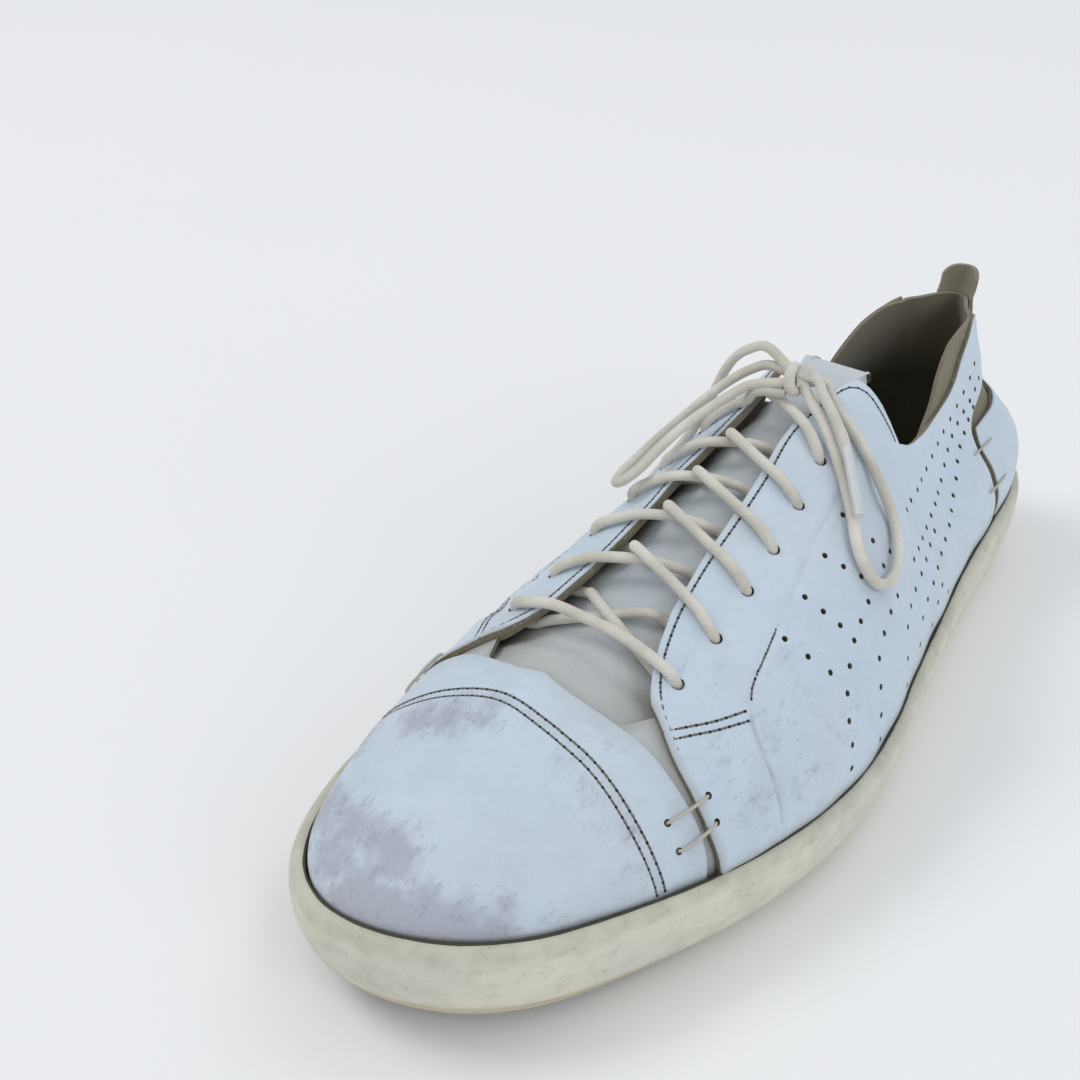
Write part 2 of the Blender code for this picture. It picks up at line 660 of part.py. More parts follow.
def smooth_path(points, spacing):
    """Even points on the smooth open curve through the points."""
    points = np.array(points, dtype=float)
    padded = np.vstack([2.0 * points[0] - points[1], points, 2.0 * points[-1] - points[-2]])
    dense = []
    for k in range(len(points) - 1):
        p0, p1, p2, p3 = padded[k:k + 4]
        for t in np.linspace(0.0, 1.0, 12, endpoint=False):
            bend = 2.0 * p1 + (p2 - p0) * t + (2.0 * p0 - 5.0 * p1 + 4.0 * p2 - p3) * t ** 2
            dense.append(0.5 * (bend + (3.0 * p1 - p0 - 3.0 * p2 + p3) * t ** 3))
    dense.append(points[-1])
    dense = np.array(dense)
    along = np.r_[0.0, np.cumsum(np.linalg.norm(np.diff(dense, axis=0), axis=1))]
    count = max(2, int(round(along[-1] / spacing)) + 1)
    even = np.linspace(0.0, along[-1], count)
    return np.stack([np.interp(even, along, dense[:, k]) for k in range(3)], axis=1)


def route(rows, spacing):
    return smooth_path([upper_point(u, v, lift) for u, v, lift in rows], spacing)


def eyestay_edge(u):
    """v of the eyestay's edge beside an eyelet on either side."""
    return float(lookup(EYESTAY, u if u < 0.5 else float(outer_u(u))))


def strand(near, far, middle_lift):
    """Lace strand from above one eyelet, across the throat, to beneath the other side's edge."""
    (u0, v0), (u1, v1) = near, far
    near_u = u0 if u0 > 0.5 else float(inner_u(u0))
    far_u = u1 if u1 > 0.5 else float(inner_u(u1))
    shift = far_u - near_u

    def along(share, on_near_side):
        """u on the side asked for, at a share of the way forward or back."""
        inner_value = near_u + share * shift
        wants_inner = (u0 > 0.5) == on_near_side
        return inner_value if wants_inner else float(outer_u(inner_value))

    near_edge = eyestay_edge(u0)
    far_edge = eyestay_edge(u1)
    rows = [
        (u0, v0, 0.0022),
        (along(0.10, True), 0.5 * (v0 + near_edge), 0.0034),
        (along(0.25, True), near_edge + 0.04, 0.0036),
        (near_u + 0.5 * shift, 1.0, middle_lift),
        (along(0.75, False), far_edge + 0.07, -0.0016),
        (along(0.87, False), far_edge + 0.015, -0.0050),
        (along(0.93, False), far_edge - 0.040, -0.0053),
    ]
    return rows


def lace_tube(name, rows, shader):
    return tube(name, route(rows, 0.0042), LACE_RADIUS, 6, shader)


def make_crossings(shader):
    """Four crossings over the tongue, the bar across the lowest eyelets and the top strands."""
    made = []
    for k in range(1, 5):
        over = strand(OUTER_EYELETS[k], INNER_EYELETS[k + 1], 0.0044)
        under = strand(INNER_EYELETS[k], OUTER_EYELETS[k + 1], 0.0020)
        first = lace_tube("lace_cross_%d" % (k + 1), over, shader)
        apply_boolean(first, lace_tube("strand", under, shader), "UNION")
        made.append(first)
    (inner_bar_u, inner_bar_v), (bar_u, bar_v) = INNER_EYELETS[0], OUTER_EYELETS[0]
    bar_rows = [
        (inner_bar_u, inner_bar_v, 0.0022),
        (inner_bar_u + 0.0010, 0.76, 0.0034),
        (inner_bar_u + 0.0010, 0.88, 0.0034),
        (float(inner_u(bar_u)), 1.0, 0.0024),
        (bar_u, 0.89, 0.0034),
        (bar_u, 0.79, 0.0034),
        (bar_u, bar_v, 0.0022),
    ]
    made.append(lace_tube("lace_bar", bar_rows, shader))
    (inner_top_u, inner_top_v), (top_u, top_v) = INNER_EYELETS[5], OUTER_EYELETS[5]
    top_rows = [
        (top_u, top_v, 0.0022),
        (0.2290, 0.84, 0.0034),
        (float(inner_u(0.2240)), 1.0, 0.0034),
        (float(inner_u(0.2290)), 0.84, 0.0034),
        (inner_top_u, inner_top_v, 0.0022),
    ]
    made.append(lace_tube("lace_top", top_rows, shader))
    return made


def low_strand(near, far, lift):
    """Strand from beneath one edge, across the tongue, to beneath the other edge."""
    near_u = near[0] if near[0] > 0.5 else float(inner_u(near[0]))
    far_u = far[0] if far[0] > 0.5 else float(inner_u(far[0]))
    return [
        (near[0], 0.800, -0.0054),
        (near[0], 0.885, -0.0050),
        (0.5 * (near_u + far_u), 1.0, lift),
        (far[0], 0.885, -0.0050),
        (far[0], 0.800, -0.0054),
    ]


def make_low_cross(shader):
    """First crossing, lying on the tongue beneath both edges."""
    first = lace_tube("lace_cross_1", low_strand(OUTER_EYELETS[0], INNER_EYELETS[1], -0.0034), shader)
    second = lace_tube("strand", low_strand(INNER_EYELETS[0], OUTER_EYELETS[1], -0.0060), shader)
    apply_boolean(first, second, "UNION")
    return first


def cord(name, points, radius, shader):
    curve = bpy.data.curves.new(name, "CURVE")
    curve.dimensions = "3D"
    curve.bevel_depth = radius
    curve.bevel_resolution = 2
    curve.use_fill_caps = True
    spline = curve.splines.new("POLY")
    spline.points.add(len(points) - 1)
    for k, point in enumerate(points):
        spline.points[k].co = (*(float(c) for c in point), 1.0)
    curve.materials.append(shader)
    made = bpy.data.objects.new(name, curve)
    bpy.context.collection.objects.link(made)
    return made


def knot_points():
    """Lace wrapped about one and a half times round the roots of the loops."""
    cx, cy, cz = KNOT_CENTRE
    points = []
    for k in range(19):
        t = k / 18.0
        angle = math.radians(-150.0 + 600.0 * t)
        across, up = KNOT_RADIUS * math.cos(angle), KNOT_RADIUS * math.sin(angle)
        points.append((cx + KNOT_LONG * (t - 0.5), cy + across, cz + up))
    return points


def make_bow(lace, plastic):
    cord("lace_knot", knot_points(), LACE_RADIUS, lace)
    for name, rows in (("lace_loop_right", RIGHT_LOOP), ("lace_loop_left", LEFT_LOOP),
                       ("lace_end_right", RIGHT_END), ("lace_end_left", LEFT_END)):
        cord(name, route(rows, 0.0065), LACE_RADIUS, lace)
    for name, rows in (("aglet_right", RIGHT_AGLET), ("aglet_left", LEFT_AGLET)):
        (u0, v0, lift0), (u1, v1, lift1) = rows
        first = upper_point(u0, v0, lift0)
        last = upper_point(u1, v1, lift1)
        share = min(1.0, AGLET_LONG / np.linalg.norm(last - first))
        tube(name, [first, first + (last - first) * share], AGLET_RADIUS, 8, plastic)


def main():
    for item in list(bpy.data.objects):
        bpy.data.objects.remove(item, do_unlink=True)
    leather = material("white leather", (0.72, 0.79, 0.85), 0.45)
    rubber = material("cream rubber", (0.76, 0.73, 0.62), 0.55)
    suede = material("olive suede", (0.30, 0.26, 0.18), 0.90)
    tongue_leather = material("tongue leather", (0.70, 0.70, 0.68), 0.60)
    footbed = material("footbed lining", (0.36, 0.30, 0.21), 0.85)
    lace = material("cream lace", (0.80, 0.78, 0.70), 0.85)
    plastic = material("aglet plastic", (0.82, 0.83, 0.82), 0.30)
    counter_leather = material("counter leather", (0.70, 0.77, 0.83), 0.50)
    make_sole(rubber)
    make_upper(leather)
    make_tongue(tongue_leather)
    make_insole(footbed)
    make_counter(counter_leather)
    make_strip(suede)
    make_low_cross(lace)
    make_crossings(lace)
    make_bow(lace, plastic)


main()
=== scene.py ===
"""Dresses the worn leather sneaker: leather panels, seams, laces, cup sole and the wear of use.

Metres, in the frame of the CAD model. The toe points towards -y and the outer side towards +x.
Every soft piece lies on one last. u is the share of the way round its rim, from the heel by the outer
side. w is the same on the outer side, and runs from 0 at the heel to minus the same value at the toe tip
on the inner side. v goes up the side from the rim (0) to the ridge (1).
"""
import math

import bmesh
import bpy
import numpy as np
from mathutils import Matrix, Vector


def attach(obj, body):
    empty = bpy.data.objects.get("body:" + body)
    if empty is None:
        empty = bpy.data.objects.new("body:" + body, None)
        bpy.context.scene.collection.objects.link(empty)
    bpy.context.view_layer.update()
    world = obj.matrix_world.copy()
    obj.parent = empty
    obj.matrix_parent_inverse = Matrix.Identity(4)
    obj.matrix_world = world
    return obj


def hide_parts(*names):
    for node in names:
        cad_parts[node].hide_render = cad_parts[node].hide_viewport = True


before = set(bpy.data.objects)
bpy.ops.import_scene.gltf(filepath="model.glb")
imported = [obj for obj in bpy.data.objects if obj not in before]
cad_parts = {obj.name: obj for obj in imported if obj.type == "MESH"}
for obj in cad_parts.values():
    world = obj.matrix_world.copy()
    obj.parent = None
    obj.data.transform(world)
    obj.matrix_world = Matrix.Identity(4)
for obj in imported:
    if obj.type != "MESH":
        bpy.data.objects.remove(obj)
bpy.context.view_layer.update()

# sizes of the last, as in the part's source
LENGTH = 0.296
BALL_WIDTH = 0.107
HEEL_Y = 0.045
WALL = 0.0030
GAP = 0.0004
FINE = 720

# plan of the rim as (share of the length, share of the ball's width)
OUTER_SIDE = [
    (0.000, 0.000), (0.010, 0.130), (0.035, 0.235), (0.090, 0.310), (0.170, 0.345), (0.270, 0.382),
    (0.360, 0.428), (0.450, 0.475), (0.530, 0.522), (0.610, 0.542), (0.690, 0.522), (0.770, 0.468),
    (0.850, 0.385), (0.920, 0.290), (0.965, 0.180), (0.992, 0.050),
]
INNER_SIDE = [
    (1.000, -0.065), (0.991, -0.160), (0.965, -0.243), (0.910, -0.330), (0.840, -0.392), (0.750, -0.430),
    (0.670, -0.425), (0.580, -0.380), (0.480, -0.340), (0.380, -0.320), (0.280, -0.325), (0.180, -0.335),
    (0.090, -0.305), (0.035, -0.235), (0.010, -0.130),
]

# heights, and x of the middle line, as (share of the length, metres)
RIM = [
    (0.00, 0.0290), (0.25, 0.0255), (0.45, 0.0235), (0.62, 0.0230), (0.78, 0.0252), (0.90, 0.0285),
    (1.00, 0.0318),
]
CREST = [
    (0.00, 0.1010), (0.20, 0.1010), (0.32, 0.0965), (0.42, 0.0895), (0.48, 0.0845), (0.56, 0.0765),
    (0.65, 0.0670), (0.73, 0.0590), (0.80, 0.0530), (0.86, 0.0490), (0.93, 0.0455), (1.00, 0.0430),
]
FLOOR = [
    (0.00, 0.0120), (0.25, 0.0110), (0.50, 0.0085), (0.70, 0.0080), (0.82, 0.0100), (0.92, 0.0150),
    (1.00, 0.0210),
]
UNDERSIDE = [
    (0.00, 0.0012), (0.05, 0.0), (0.10, 0.0), (0.66, 0.0), (0.71, 0.0), (0.78, 0.0006), (0.86, 0.0020),
    (0.93, 0.0040), (1.00, 0.0062),
]
RIDGE_X = [(0.00, 0.0), (0.30, -0.002), (0.50, -0.004), (0.70, -0.003), (0.82, -0.003), (1.00, -0.004)]

# how far the heel reaches out as (share of the height, share of the rim's reach)
HEEL_SIDE = [
    (0.00, 1.000), (0.08, 1.012), (0.17, 0.990), (0.25, 0.930), (0.33, 0.820), (0.41, 0.705), (0.50, 0.620),
    (0.62, 0.545), (0.72, 0.490), (0.80, 0.450), (1.00, 0.380),
]

# the middle line's ends as shares of the length, for the last and for the cup
HEEL_POLE = 0.130
TOE_POLE = 0.800
TOE_STOP = 0.787
POLE_SOFT = 0.050
SPINE_START = 0.11
SPINE_END = 0.80

# half width of the heel's flat back, and metres to one v below the rim
HEEL_BACK = 0.024
BELOW_RIM = 0.08

# metres to one w and to one v, where points are spaced along a line
AROUND = 0.66
UPWARDS = 0.075

# upright edges of the leather panels as (v, w), and top edges as (u, v)
BACK_EDGE = [
    (0.00, 0.1000), (0.06, 0.1028), (0.125, 0.1060), (0.18, 0.1069), (0.233, 0.1074), (0.27, 0.1035),
    (0.30, 0.0951), (0.34, 0.0740), (0.40, 0.0610), (0.50, 0.0560), (0.60, 0.0510), (1.00, 0.0450),
]
FRONT_EDGE = [
    (0.00, 0.3722), (0.26, 0.3736), (0.38, 0.3729), (0.56, 0.3694), (0.65, 0.3646), (0.72, 0.3611),
    (1.00, 0.3500),
]
VAMP_EDGE = [
    (0.00, 0.3768), (0.45, 0.3757), (0.60, 0.3760), (0.83, 0.3828), (0.94, 0.3866), (0.985, 0.3872),
    (1.00, 0.3872),
]
COLLAR = [
    (0.000, 0.575), (0.050, 0.578), (0.0736, 0.555), (0.0931, 0.496), (0.1076, 0.438), (0.1271, 0.402),
    (0.1389, 0.396), (0.1576, 0.412), (0.1757, 0.458), (0.1885, 0.525),
]
EYESTAY = [
    (0.1885, 0.525), (0.1893, 0.600), (0.1899, 0.700), (0.1908, 0.800), (0.1925, 0.880), (0.1970, 0.903),
    (0.2100, 0.905), (0.2285, 0.900), (0.2500, 0.875), (0.2700, 0.863), (0.3020, 0.856), (0.3260, 0.832),
    (0.3400, 0.797), (0.3500, 0.762), (0.3565, 0.733), (0.3605, 0.710), (0.3640, 0.680),
]

# where the panels and the lining begin and end, and the eyelets as (u, v)
NOTCH_U = 0.1885
FRONT_U = 0.3725
QUARTER_BACK = 0.0560
LEATHER_FOOT = -0.03
LINING_FOOT = -0.10
LINING_INSET = 0.008
COUNTER_TOP = 0.262
TAB_TOP = 0.0935
OUTER_EYELETS = [
    (0.3479, 0.683), (0.3243, 0.692), (0.3014, 0.708), (0.2812, 0.717), (0.2590, 0.729), (0.2361, 0.750),
]
INNER_EYELETS = [
    (0.6549, 0.640), (0.6750, 0.679), (0.7007, 0.665), (0.7222, 0.675), (0.7410, 0.696), (0.7635, 0.720),
]
EYELET_RADIUS = 0.0017

# leather, lining, thread, tongue and insole
LEATHER = 0.0016
VAMP_LEATHER = 0.0017
COUNTER_LEATHER = 0.0014
COUNTER_PROUD = 0.0002
COUNTER_BULGE = 0.0006
STRIP_THICK = 0.0013
LINING_OUT = -0.0018
EDGE_DROP = 0.00045
VAMP_EDGE_DROP = 0.00040
EDGE_SHARES = (1.0, 0.45, 0.10)
ROLLED_EDGE = 0.00035
PITCH = 0.0026
STITCH_SIZE = (0.0021, 0.00062, 0.0004)
PRICK_SIZE = (0.0011, 0.0008, 0.00022)
STITCH_RISE = 0.00004
TOE_ROW_GAP = 0.0023
VAMP_DROP = 0.0005
FINE_CREASE = 0.0020
SEAM_DEPTH = 0.00030
# crease depth at which the painted shade and soiling in a crease are full
DARKEST_CREASE = 0.0011
PERFORATION_RADIUS = 0.00080
THREAD_HOLE_RADIUS = 0.0009
THREAD_RADIUS = 0.00045
TONGUE_LIFT = -0.0074
TONGUE_TOE_LIFT = -0.0034
TONGUE_THICK = 0.0022
FOOTBED_INSET = GAP + WALL + 0.0005
FOOTBED_RISE = 0.0004
FOOTBED_THICK = 0.0036
FOOTBED_HOLLOW = 0.0010
FOOTBED_EDGE = 0.0008

# laces
LACE_RADIUS = 0.0015
LACE_STEP = 0.0011
LACE_SIDES = 12
LACE_LIFT = 0.0019
HELD_RADIUS = 0.0010
AGLET_RADIUS = 0.0013
AGLET_LONG = 0.020

# chains of perforations on the outer side as ((u, v) control points, count)
PERFORATIONS = [
    ([(0.0813, 0.430), (0.0993, 0.380), (0.1174, 0.350), (0.1347, 0.334), (0.1632, 0.326),
      (0.1889, 0.354), (0.2028, 0.379)], 13),
    ([(0.0778, 0.371), (0.0972, 0.333), (0.1132, 0.316), (0.1306, 0.288), (0.1500, 0.255),
      (0.1674, 0.250), (0.1896, 0.258), (0.2139, 0.283)], 16),
    ([(0.0938, 0.312), (0.1111, 0.280), (0.1264, 0.254), (0.1389, 0.225), (0.1535, 0.200),
      (0.1743, 0.184), (0.1986, 0.170), (0.2194, 0.142), (0.2260, 0.085)], 16),
    ([(0.1806, 0.225), (0.2063, 0.228), (0.2313, 0.230), (0.2410, 0.212), (0.2446, 0.170),
      (0.2452, 0.105), (0.2450, 0.045)], 9),
    ([(0.1826, 0.067), (0.1924, 0.125)], 2),
    ([(0.2049, 0.054), (0.1990, 0.100)], 2),
    ([(0.2424, 0.317), (0.2549, 0.317), (0.2639, 0.296), (0.2715, 0.267), (0.2750, 0.204),
      (0.2775, 0.130), (0.2785, 0.037)], 7),
    ([(0.2250, 0.408), (0.2333, 0.410), (0.2431, 0.414)], 3),
    ([(0.2625, 0.408), (0.2708, 0.398), (0.2799, 0.383), (0.2868, 0.354), (0.2938, 0.308),
      (0.2990, 0.250), (0.3018, 0.172), (0.3042, 0.083)], 8),
    ([(0.2472, 0.608), (0.2417, 0.487)], 2),
    ([(0.2674, 0.592), (0.2639, 0.533), (0.2597, 0.479), (0.2542, 0.412)], 4),
    ([(0.2868, 0.575), (0.2847, 0.512), (0.2819, 0.446)], 3),
    ([(0.3049, 0.550), (0.3021, 0.471), (0.2975, 0.385)], 3),
]

# seams as (u, v) lines on the outer side
PANEL_SEAM = [
    (0.2200, 0.660), (0.2403, 0.646), (0.2639, 0.637), (0.2833, 0.617), (0.3056, 0.583), (0.3257, 0.537),
    (0.3319, 0.500), (0.3380, 0.420), (0.3410, 0.300), (0.3424, 0.150), (0.3430, 0.030),
]
PANEL_STITCH = [(0.3049, 0.584), (0.3257, 0.537), (0.3310, 0.508)]
EDGE_STITCH = [
    (0.1920, 0.555), (0.1930, 0.680), (0.1942, 0.800), (0.1990, 0.872), (0.2110, 0.882), (0.2285, 0.878),
    (0.2500, 0.853), (0.2700, 0.841), (0.3020, 0.834), (0.3240, 0.810), (0.3430, 0.762), (0.3545, 0.708),
    (0.3610, 0.650), (0.3662, 0.560),
]
LOWER_EDGE_STITCH = [(0.3662, 0.560), (0.3690, 0.480), (0.3704, 0.420)]
BAR_UPPER = [(0.3660, 0.610), (0.3580, 0.575), (0.3480, 0.532), (0.3365, 0.494)]
BAR_LOWER = [(0.3670, 0.580), (0.3590, 0.548), (0.3490, 0.506), (0.3380, 0.467)]
TOE_SEAM = [
    (0.3938, 0.020), (0.3951, 0.180), (0.3965, 0.388), (0.3993, 0.650), (0.4125, 0.879), (0.5792, 0.937),
    (0.5986, 0.708), (0.5993, 0.500), (0.5995, 0.250), (0.5995, 0.030),
]
THREAD_BARS = [((0.3674, 0.358), (0.3861, 0.350)), ((0.3694, 0.254), (0.3861, 0.212))]
HEEL_BARS = [((0.0900, 0.215), (0.1150, 0.225)), ((0.0900, 0.115), (0.1150, 0.125))]

# a thread bar as (share of its way, lift)
BAR_ARC = [
    (0.0, -0.0016), (0.03, 0.0001), (0.14, 0.0007), (0.5, 0.0008), (0.86, 0.0005), (0.97, -0.0002),
    (1.0, -0.0018),
]

# creases as (line of (u, v), depth, half width) on the outer side; the inner side has its own
OUTER_CREASES = [
    ([(0.3240, 0.572), (0.3210, 0.510), (0.3181, 0.454), (0.3125, 0.317), (0.3056, 0.183)], 0.00030, 0.0008),
    ([(0.3195, 0.520), (0.3140, 0.418), (0.3085, 0.330)], 0.00022, 0.0008),
    ([(0.2970, 0.380), (0.2910, 0.287), (0.2854, 0.208)], 0.00016, 0.0008),
    ([(0.3358, 0.470), (0.3396, 0.392), (0.3417, 0.287), (0.3438, 0.092)], 0.00030, 0.0008),
    ([(0.2300, 0.560), (0.2100, 0.480), (0.1950, 0.400)], 0.00065, 0.0050),
    ([(0.2050, 0.700), (0.2130, 0.600), (0.2200, 0.500)], 0.00060, 0.0045),
    ([(0.1080, 0.330), (0.1280, 0.290), (0.1500, 0.230)], 0.00060, 0.0060),
    ([(0.3300, 0.430), (0.3260, 0.300), (0.3200, 0.160)], 0.00070, 0.0042),
    ([(0.3550, 0.450), (0.3600, 0.300), (0.3620, 0.150)], 0.00045, 0.0040),
]
INNER_CREASES = [
    ([(0.3280, 0.590), (0.3200, 0.440), (0.3150, 0.270)], 0.00040, 0.0012),
    ([(0.3250, 0.480), (0.3190, 0.360)], 0.00025, 0.0009),
    ([(0.3440, 0.540), (0.3380, 0.380), (0.3340, 0.240)], 0.00060, 0.0032),
    ([(0.3050, 0.500), (0.2980, 0.350), (0.2900, 0.260)], 0.00045, 0.0030),
    ([(0.2300, 0.520), (0.2100, 0.420), (0.1950, 0.330)], 0.00060, 0.0055),
    ([(0.1200, 0.330), (0.1350, 0.270), (0.1600, 0.200)], 0.00060, 0.0055),
]
VAMP_CREASES = [
    ([(0.4229, 0.579), (0.4190, 0.520), (0.4153, 0.475)], 0.00014, 0.0009),
    ([(0.3850, 0.700), (0.3900, 0.850), (0.3930, 0.960)], 0.00035, 0.0030),
    ([(-0.3850, 0.500), (-0.3880, 0.700), (-0.3920, 0.880)], 0.00045, 0.0030),
    ([(0.4100, 0.800), (0.4250, 0.700), (0.4350, 0.600)], 0.00020, 0.0026),
]

# rubbed patches as (w, v, radius, strength)
WORN = [
    (-0.4900, 0.42, 0.0090, 0.75), (-0.4960, 0.30, 0.0100, 0.70), (0.5060, 0.47, 0.0100, 0.75),
    (0.4960, 0.43, 0.0080, 0.80), (0.5020, 0.20, 0.0085, 0.95), (0.4900, 0.16, 0.0085, 1.00),
    (0.4780, 0.17, 0.0085, 1.00), (0.4660, 0.13, 0.0080, 0.95), (0.4550, 0.08, 0.0070, 0.80),
    (0.4510, 0.24, 0.0060, 0.55), (-0.4300, 0.66, 0.0085, 0.70), (-0.4390, 0.78, 0.0085, 0.75),
    (-0.4680, 0.90, 0.0080, 0.60), (0.4181, 0.74, 0.0080, 0.40), (0.4090, 0.60, 0.0090, 0.42),
    (0.4020, 0.40, 0.0090, 0.42), (0.3840, 0.70, 0.0080, 0.45), (0.4028, 0.22, 0.0080, 0.40),
    (0.4326, 0.03, 0.0070, 0.45), (-0.4600, 0.20, 0.0120, 0.70), (-0.4200, 0.25, 0.0120, 0.55),
    (-0.3900, 0.30, 0.0100, 0.40), (0.0700, 0.10, 0.0100, 0.35), (-0.0500, 0.12, 0.0110, 0.45),
    (0.3560, 0.42, 0.0090, 0.40), (0.3500, 0.25, 0.0100, 0.42), (0.3300, 0.40, 0.0110, 0.38),
    (0.3280, 0.16, 0.0120, 0.36), (0.3100, 0.50, 0.0120, 0.32), (0.2960, 0.20, 0.0130, 0.30),
    (0.3400, 0.68, 0.0090, 0.30), (-0.3400, 0.35, 0.0130, 0.45), (-0.3000, 0.30, 0.0140, 0.38),
    (-0.2200, 0.20, 0.0160, 0.34), (-0.1300, 0.20, 0.0150, 0.34), (0.1500, 0.12, 0.0150, 0.26),
]

# knot and routes of the free cords as in the part's source, the routes as (u, v, lift)
KNOT_CENTRE = (0.0022, -0.0835, 0.0962)
KNOT_RADIUS = 0.0032
KNOT_LONG = 0.0060
RIGHT_LOOP = [
    (0.2085, 0.92, 0.0046), (0.2110, 0.87, 0.0034), (0.2140, 0.81, 0.0025), (0.2170, 0.69, 0.0021),
    (0.2220, 0.57, 0.0021), (0.2260, 0.48, 0.0021), (0.2320, 0.42, 0.0021), (0.2380, 0.395, 0.0021),
    (0.2440, 0.388, 0.0021), (0.2520, 0.400, 0.0021), (0.2570, 0.430, 0.0021), (0.2580, 0.470, 0.0021),
    (0.2565, 0.515, 0.0021), (0.2530, 0.55, 0.0021), (0.2470, 0.59, 0.0021), (0.2380, 0.66, 0.0021),
    (0.2310, 0.73, 0.0024), (0.2240, 0.82, 0.0034), (0.2200, 0.90, 0.0050),
]
RIGHT_END = [
    (0.2140, 0.92, 0.0084), (0.2170, 0.88, 0.0074), (0.2210, 0.82, 0.0066), (0.2260, 0.75, 0.0058),
    (0.2290, 0.72, 0.0056),
]
RIGHT_AGLET = [(0.2295, 0.715, 0.0056), (0.2480, 0.590, 0.0053)]
LEFT_LOOP = [
    (0.7860, 1.000, 0.0088), (0.7840, 0.930, 0.0078), (0.7790, 0.850, 0.0072), (0.7710, 0.780, 0.0070),
    (0.7610, 0.720, 0.0068), (0.7500, 0.670, 0.0068), (0.7380, 0.650, 0.0068), (0.7270, 0.660, 0.0068),
    (0.7190, 0.700, 0.0068), (0.7185, 0.745, 0.0068), (0.7250, 0.775, 0.0068), (0.7360, 0.780, 0.0068),
    (0.7480, 0.800, 0.0068), (0.7590, 0.850, 0.0068), (0.7690, 0.910, 0.0068), (0.7760, 0.970, 0.0070),
]
LEFT_END = [
    (0.7900, 0.980, 0.0125), (0.7905, 0.900, 0.0112), (0.7900, 0.830, 0.0100), (0.7880, 0.760, 0.0084),
    (0.7850, 0.690, 0.0064), (0.7800, 0.620, 0.0044), (0.7740, 0.550, 0.0026), (0.7660, 0.480, 0.0021),
    (0.7580, 0.410, 0.0021), (0.7500, 0.350, 0.0021), (0.7430, 0.300, 0.0021),
]
LEFT_AGLET = [(0.7420, 0.292, 0.0021), (0.7180, 0.150, 0.0021)]

# where loops and ends leave and meet the knot, from its centre
RIGHT_LOOP_ENDS = [(0.0008, -0.0010, -0.0004), (0.0008, 0.0016, 0.0006)]
LEFT_LOOP_ENDS = [(-0.0008, 0.0016, 0.0004), (-0.0008, -0.0014, -0.0008)]
RIGHT_END_START = (0.0006, 0.0004, 0.0016)
LEFT_END_START = (-0.0010, 0.0004, 0.0018)

# angles above which an edge looks sharp
SHARP_SHEET = math.radians(38.0)
SHARP_SOLE = math.radians(50.0)
SHARP_TUBE = math.radians(60.0)
SHARP_WELT = math.radians(80.0)

# the photograph's camera
CAMERA_AT = (0.1436, -0.3573, 0.2374)
CAMERA_TURN = math.radians(41.79)
CAMERA_TILT = math.radians(31.786)
CAMERA_ROLL = math.radians(-1.701)
CAMERA_LENS = 40.79
CAMERA_SHIFT = (0.0268, -0.0132)

# what the lights shine on
TOE_BEND = (0.0, -0.12, 0.04)
MIDDLE = (0.0, -0.10, 0.04)


# the last


def blend(t):
    """0 at 0 and 1 at 1, smooth between them."""
    t = np.clip(t, 0.0, 1.0)
    return t * t * (3.0 - 2.0 * t)


def lookup(rows, s):
    """Smooth curve through the listed rows."""
    s = np.asarray(s, dtype=float)
    xs = np.array([row[0] for row in rows])
    ys = np.array([row[1] for row in rows])
    slope = np.gradient(ys, xs)
    i = np.clip(np.searchsorted(xs, s, side="right") - 1, 0, len(xs) - 2)
    h = xs[i + 1] - xs[i]
    t = np.clip((s - xs[i]) / h, 0.0, 1.0)
    rise = (1.0 - t) ** 2 * ((1.0 + 2.0 * t) * ys[i] + t * h * slope[i])
    fall = t ** 2 * ((3.0 - 2.0 * t) * ys[i + 1] - (1.0 - t) * h * slope[i + 1])
    return rise + fall


def straight(rows, s):
    """Straight lines through the listed rows."""
    return np.interp(s, [row[0] for row in rows], [row[1] for row in rows])


def distances(points):
    """How far along the line through the points each of them is."""
    return np.r_[0.0, np.cumsum(np.linalg.norm(np.diff(points, axis=0), axis=1))]


def even_steps(along, spacing):
    """Even distances about spacing apart, with both ends."""
    count = max(2, int(round(along[-1] / spacing)) + 1)
    return np.linspace(0.0, along[-1], count)


def taken_at(even, along, values):
    """Values that are known at the distances along, taken at the even distances."""
    return np.stack([np.interp(even, along, values[:, k]) for k in range(values.shape[1])], axis=1)


def unit(rows):
    return rows / np.linalg.norm(rows, axis=1)[:, None]


def closed_curve(rows, count):
    """Even points on the smooth closed curve through the rows."""
    points = np.array(rows, dtype=float)
    total = len(points)
    dense = []
    for k in range(total):
        p0, p1, p2, p3 = (points[(k + step) % total] for step in (-1, 0, 1, 2))
        a = np.linalg.norm(p1 - p0) ** 0.5
        b = np.linalg.norm(p2 - p1) ** 0.5
        c = np.linalg.norm(p3 - p2) ** 0.5
        start = ((p1 - p0) / a - (p2 - p0) / (a + b) + (p2 - p1) / b) * b
        end = ((p2 - p1) / b - (p3 - p1) / (b + c) + (p3 - p2) / c) * b
        for t in np.linspace(0.0, 1.0, 24, endpoint=False):
            first = (1.0 - t) ** 2 * ((1.0 + 2.0 * t) * p1 + t * start)
            second = t ** 2 * ((3.0 - 2.0 * t) * p2 - (1.0 - t) * end)
            dense.append(first + second)
    loop = np.vstack([dense, dense[:1]])
    along = distances(loop)
    return taken_at(np.linspace(0.0, along[-1], count, endpoint=False), along, loop)


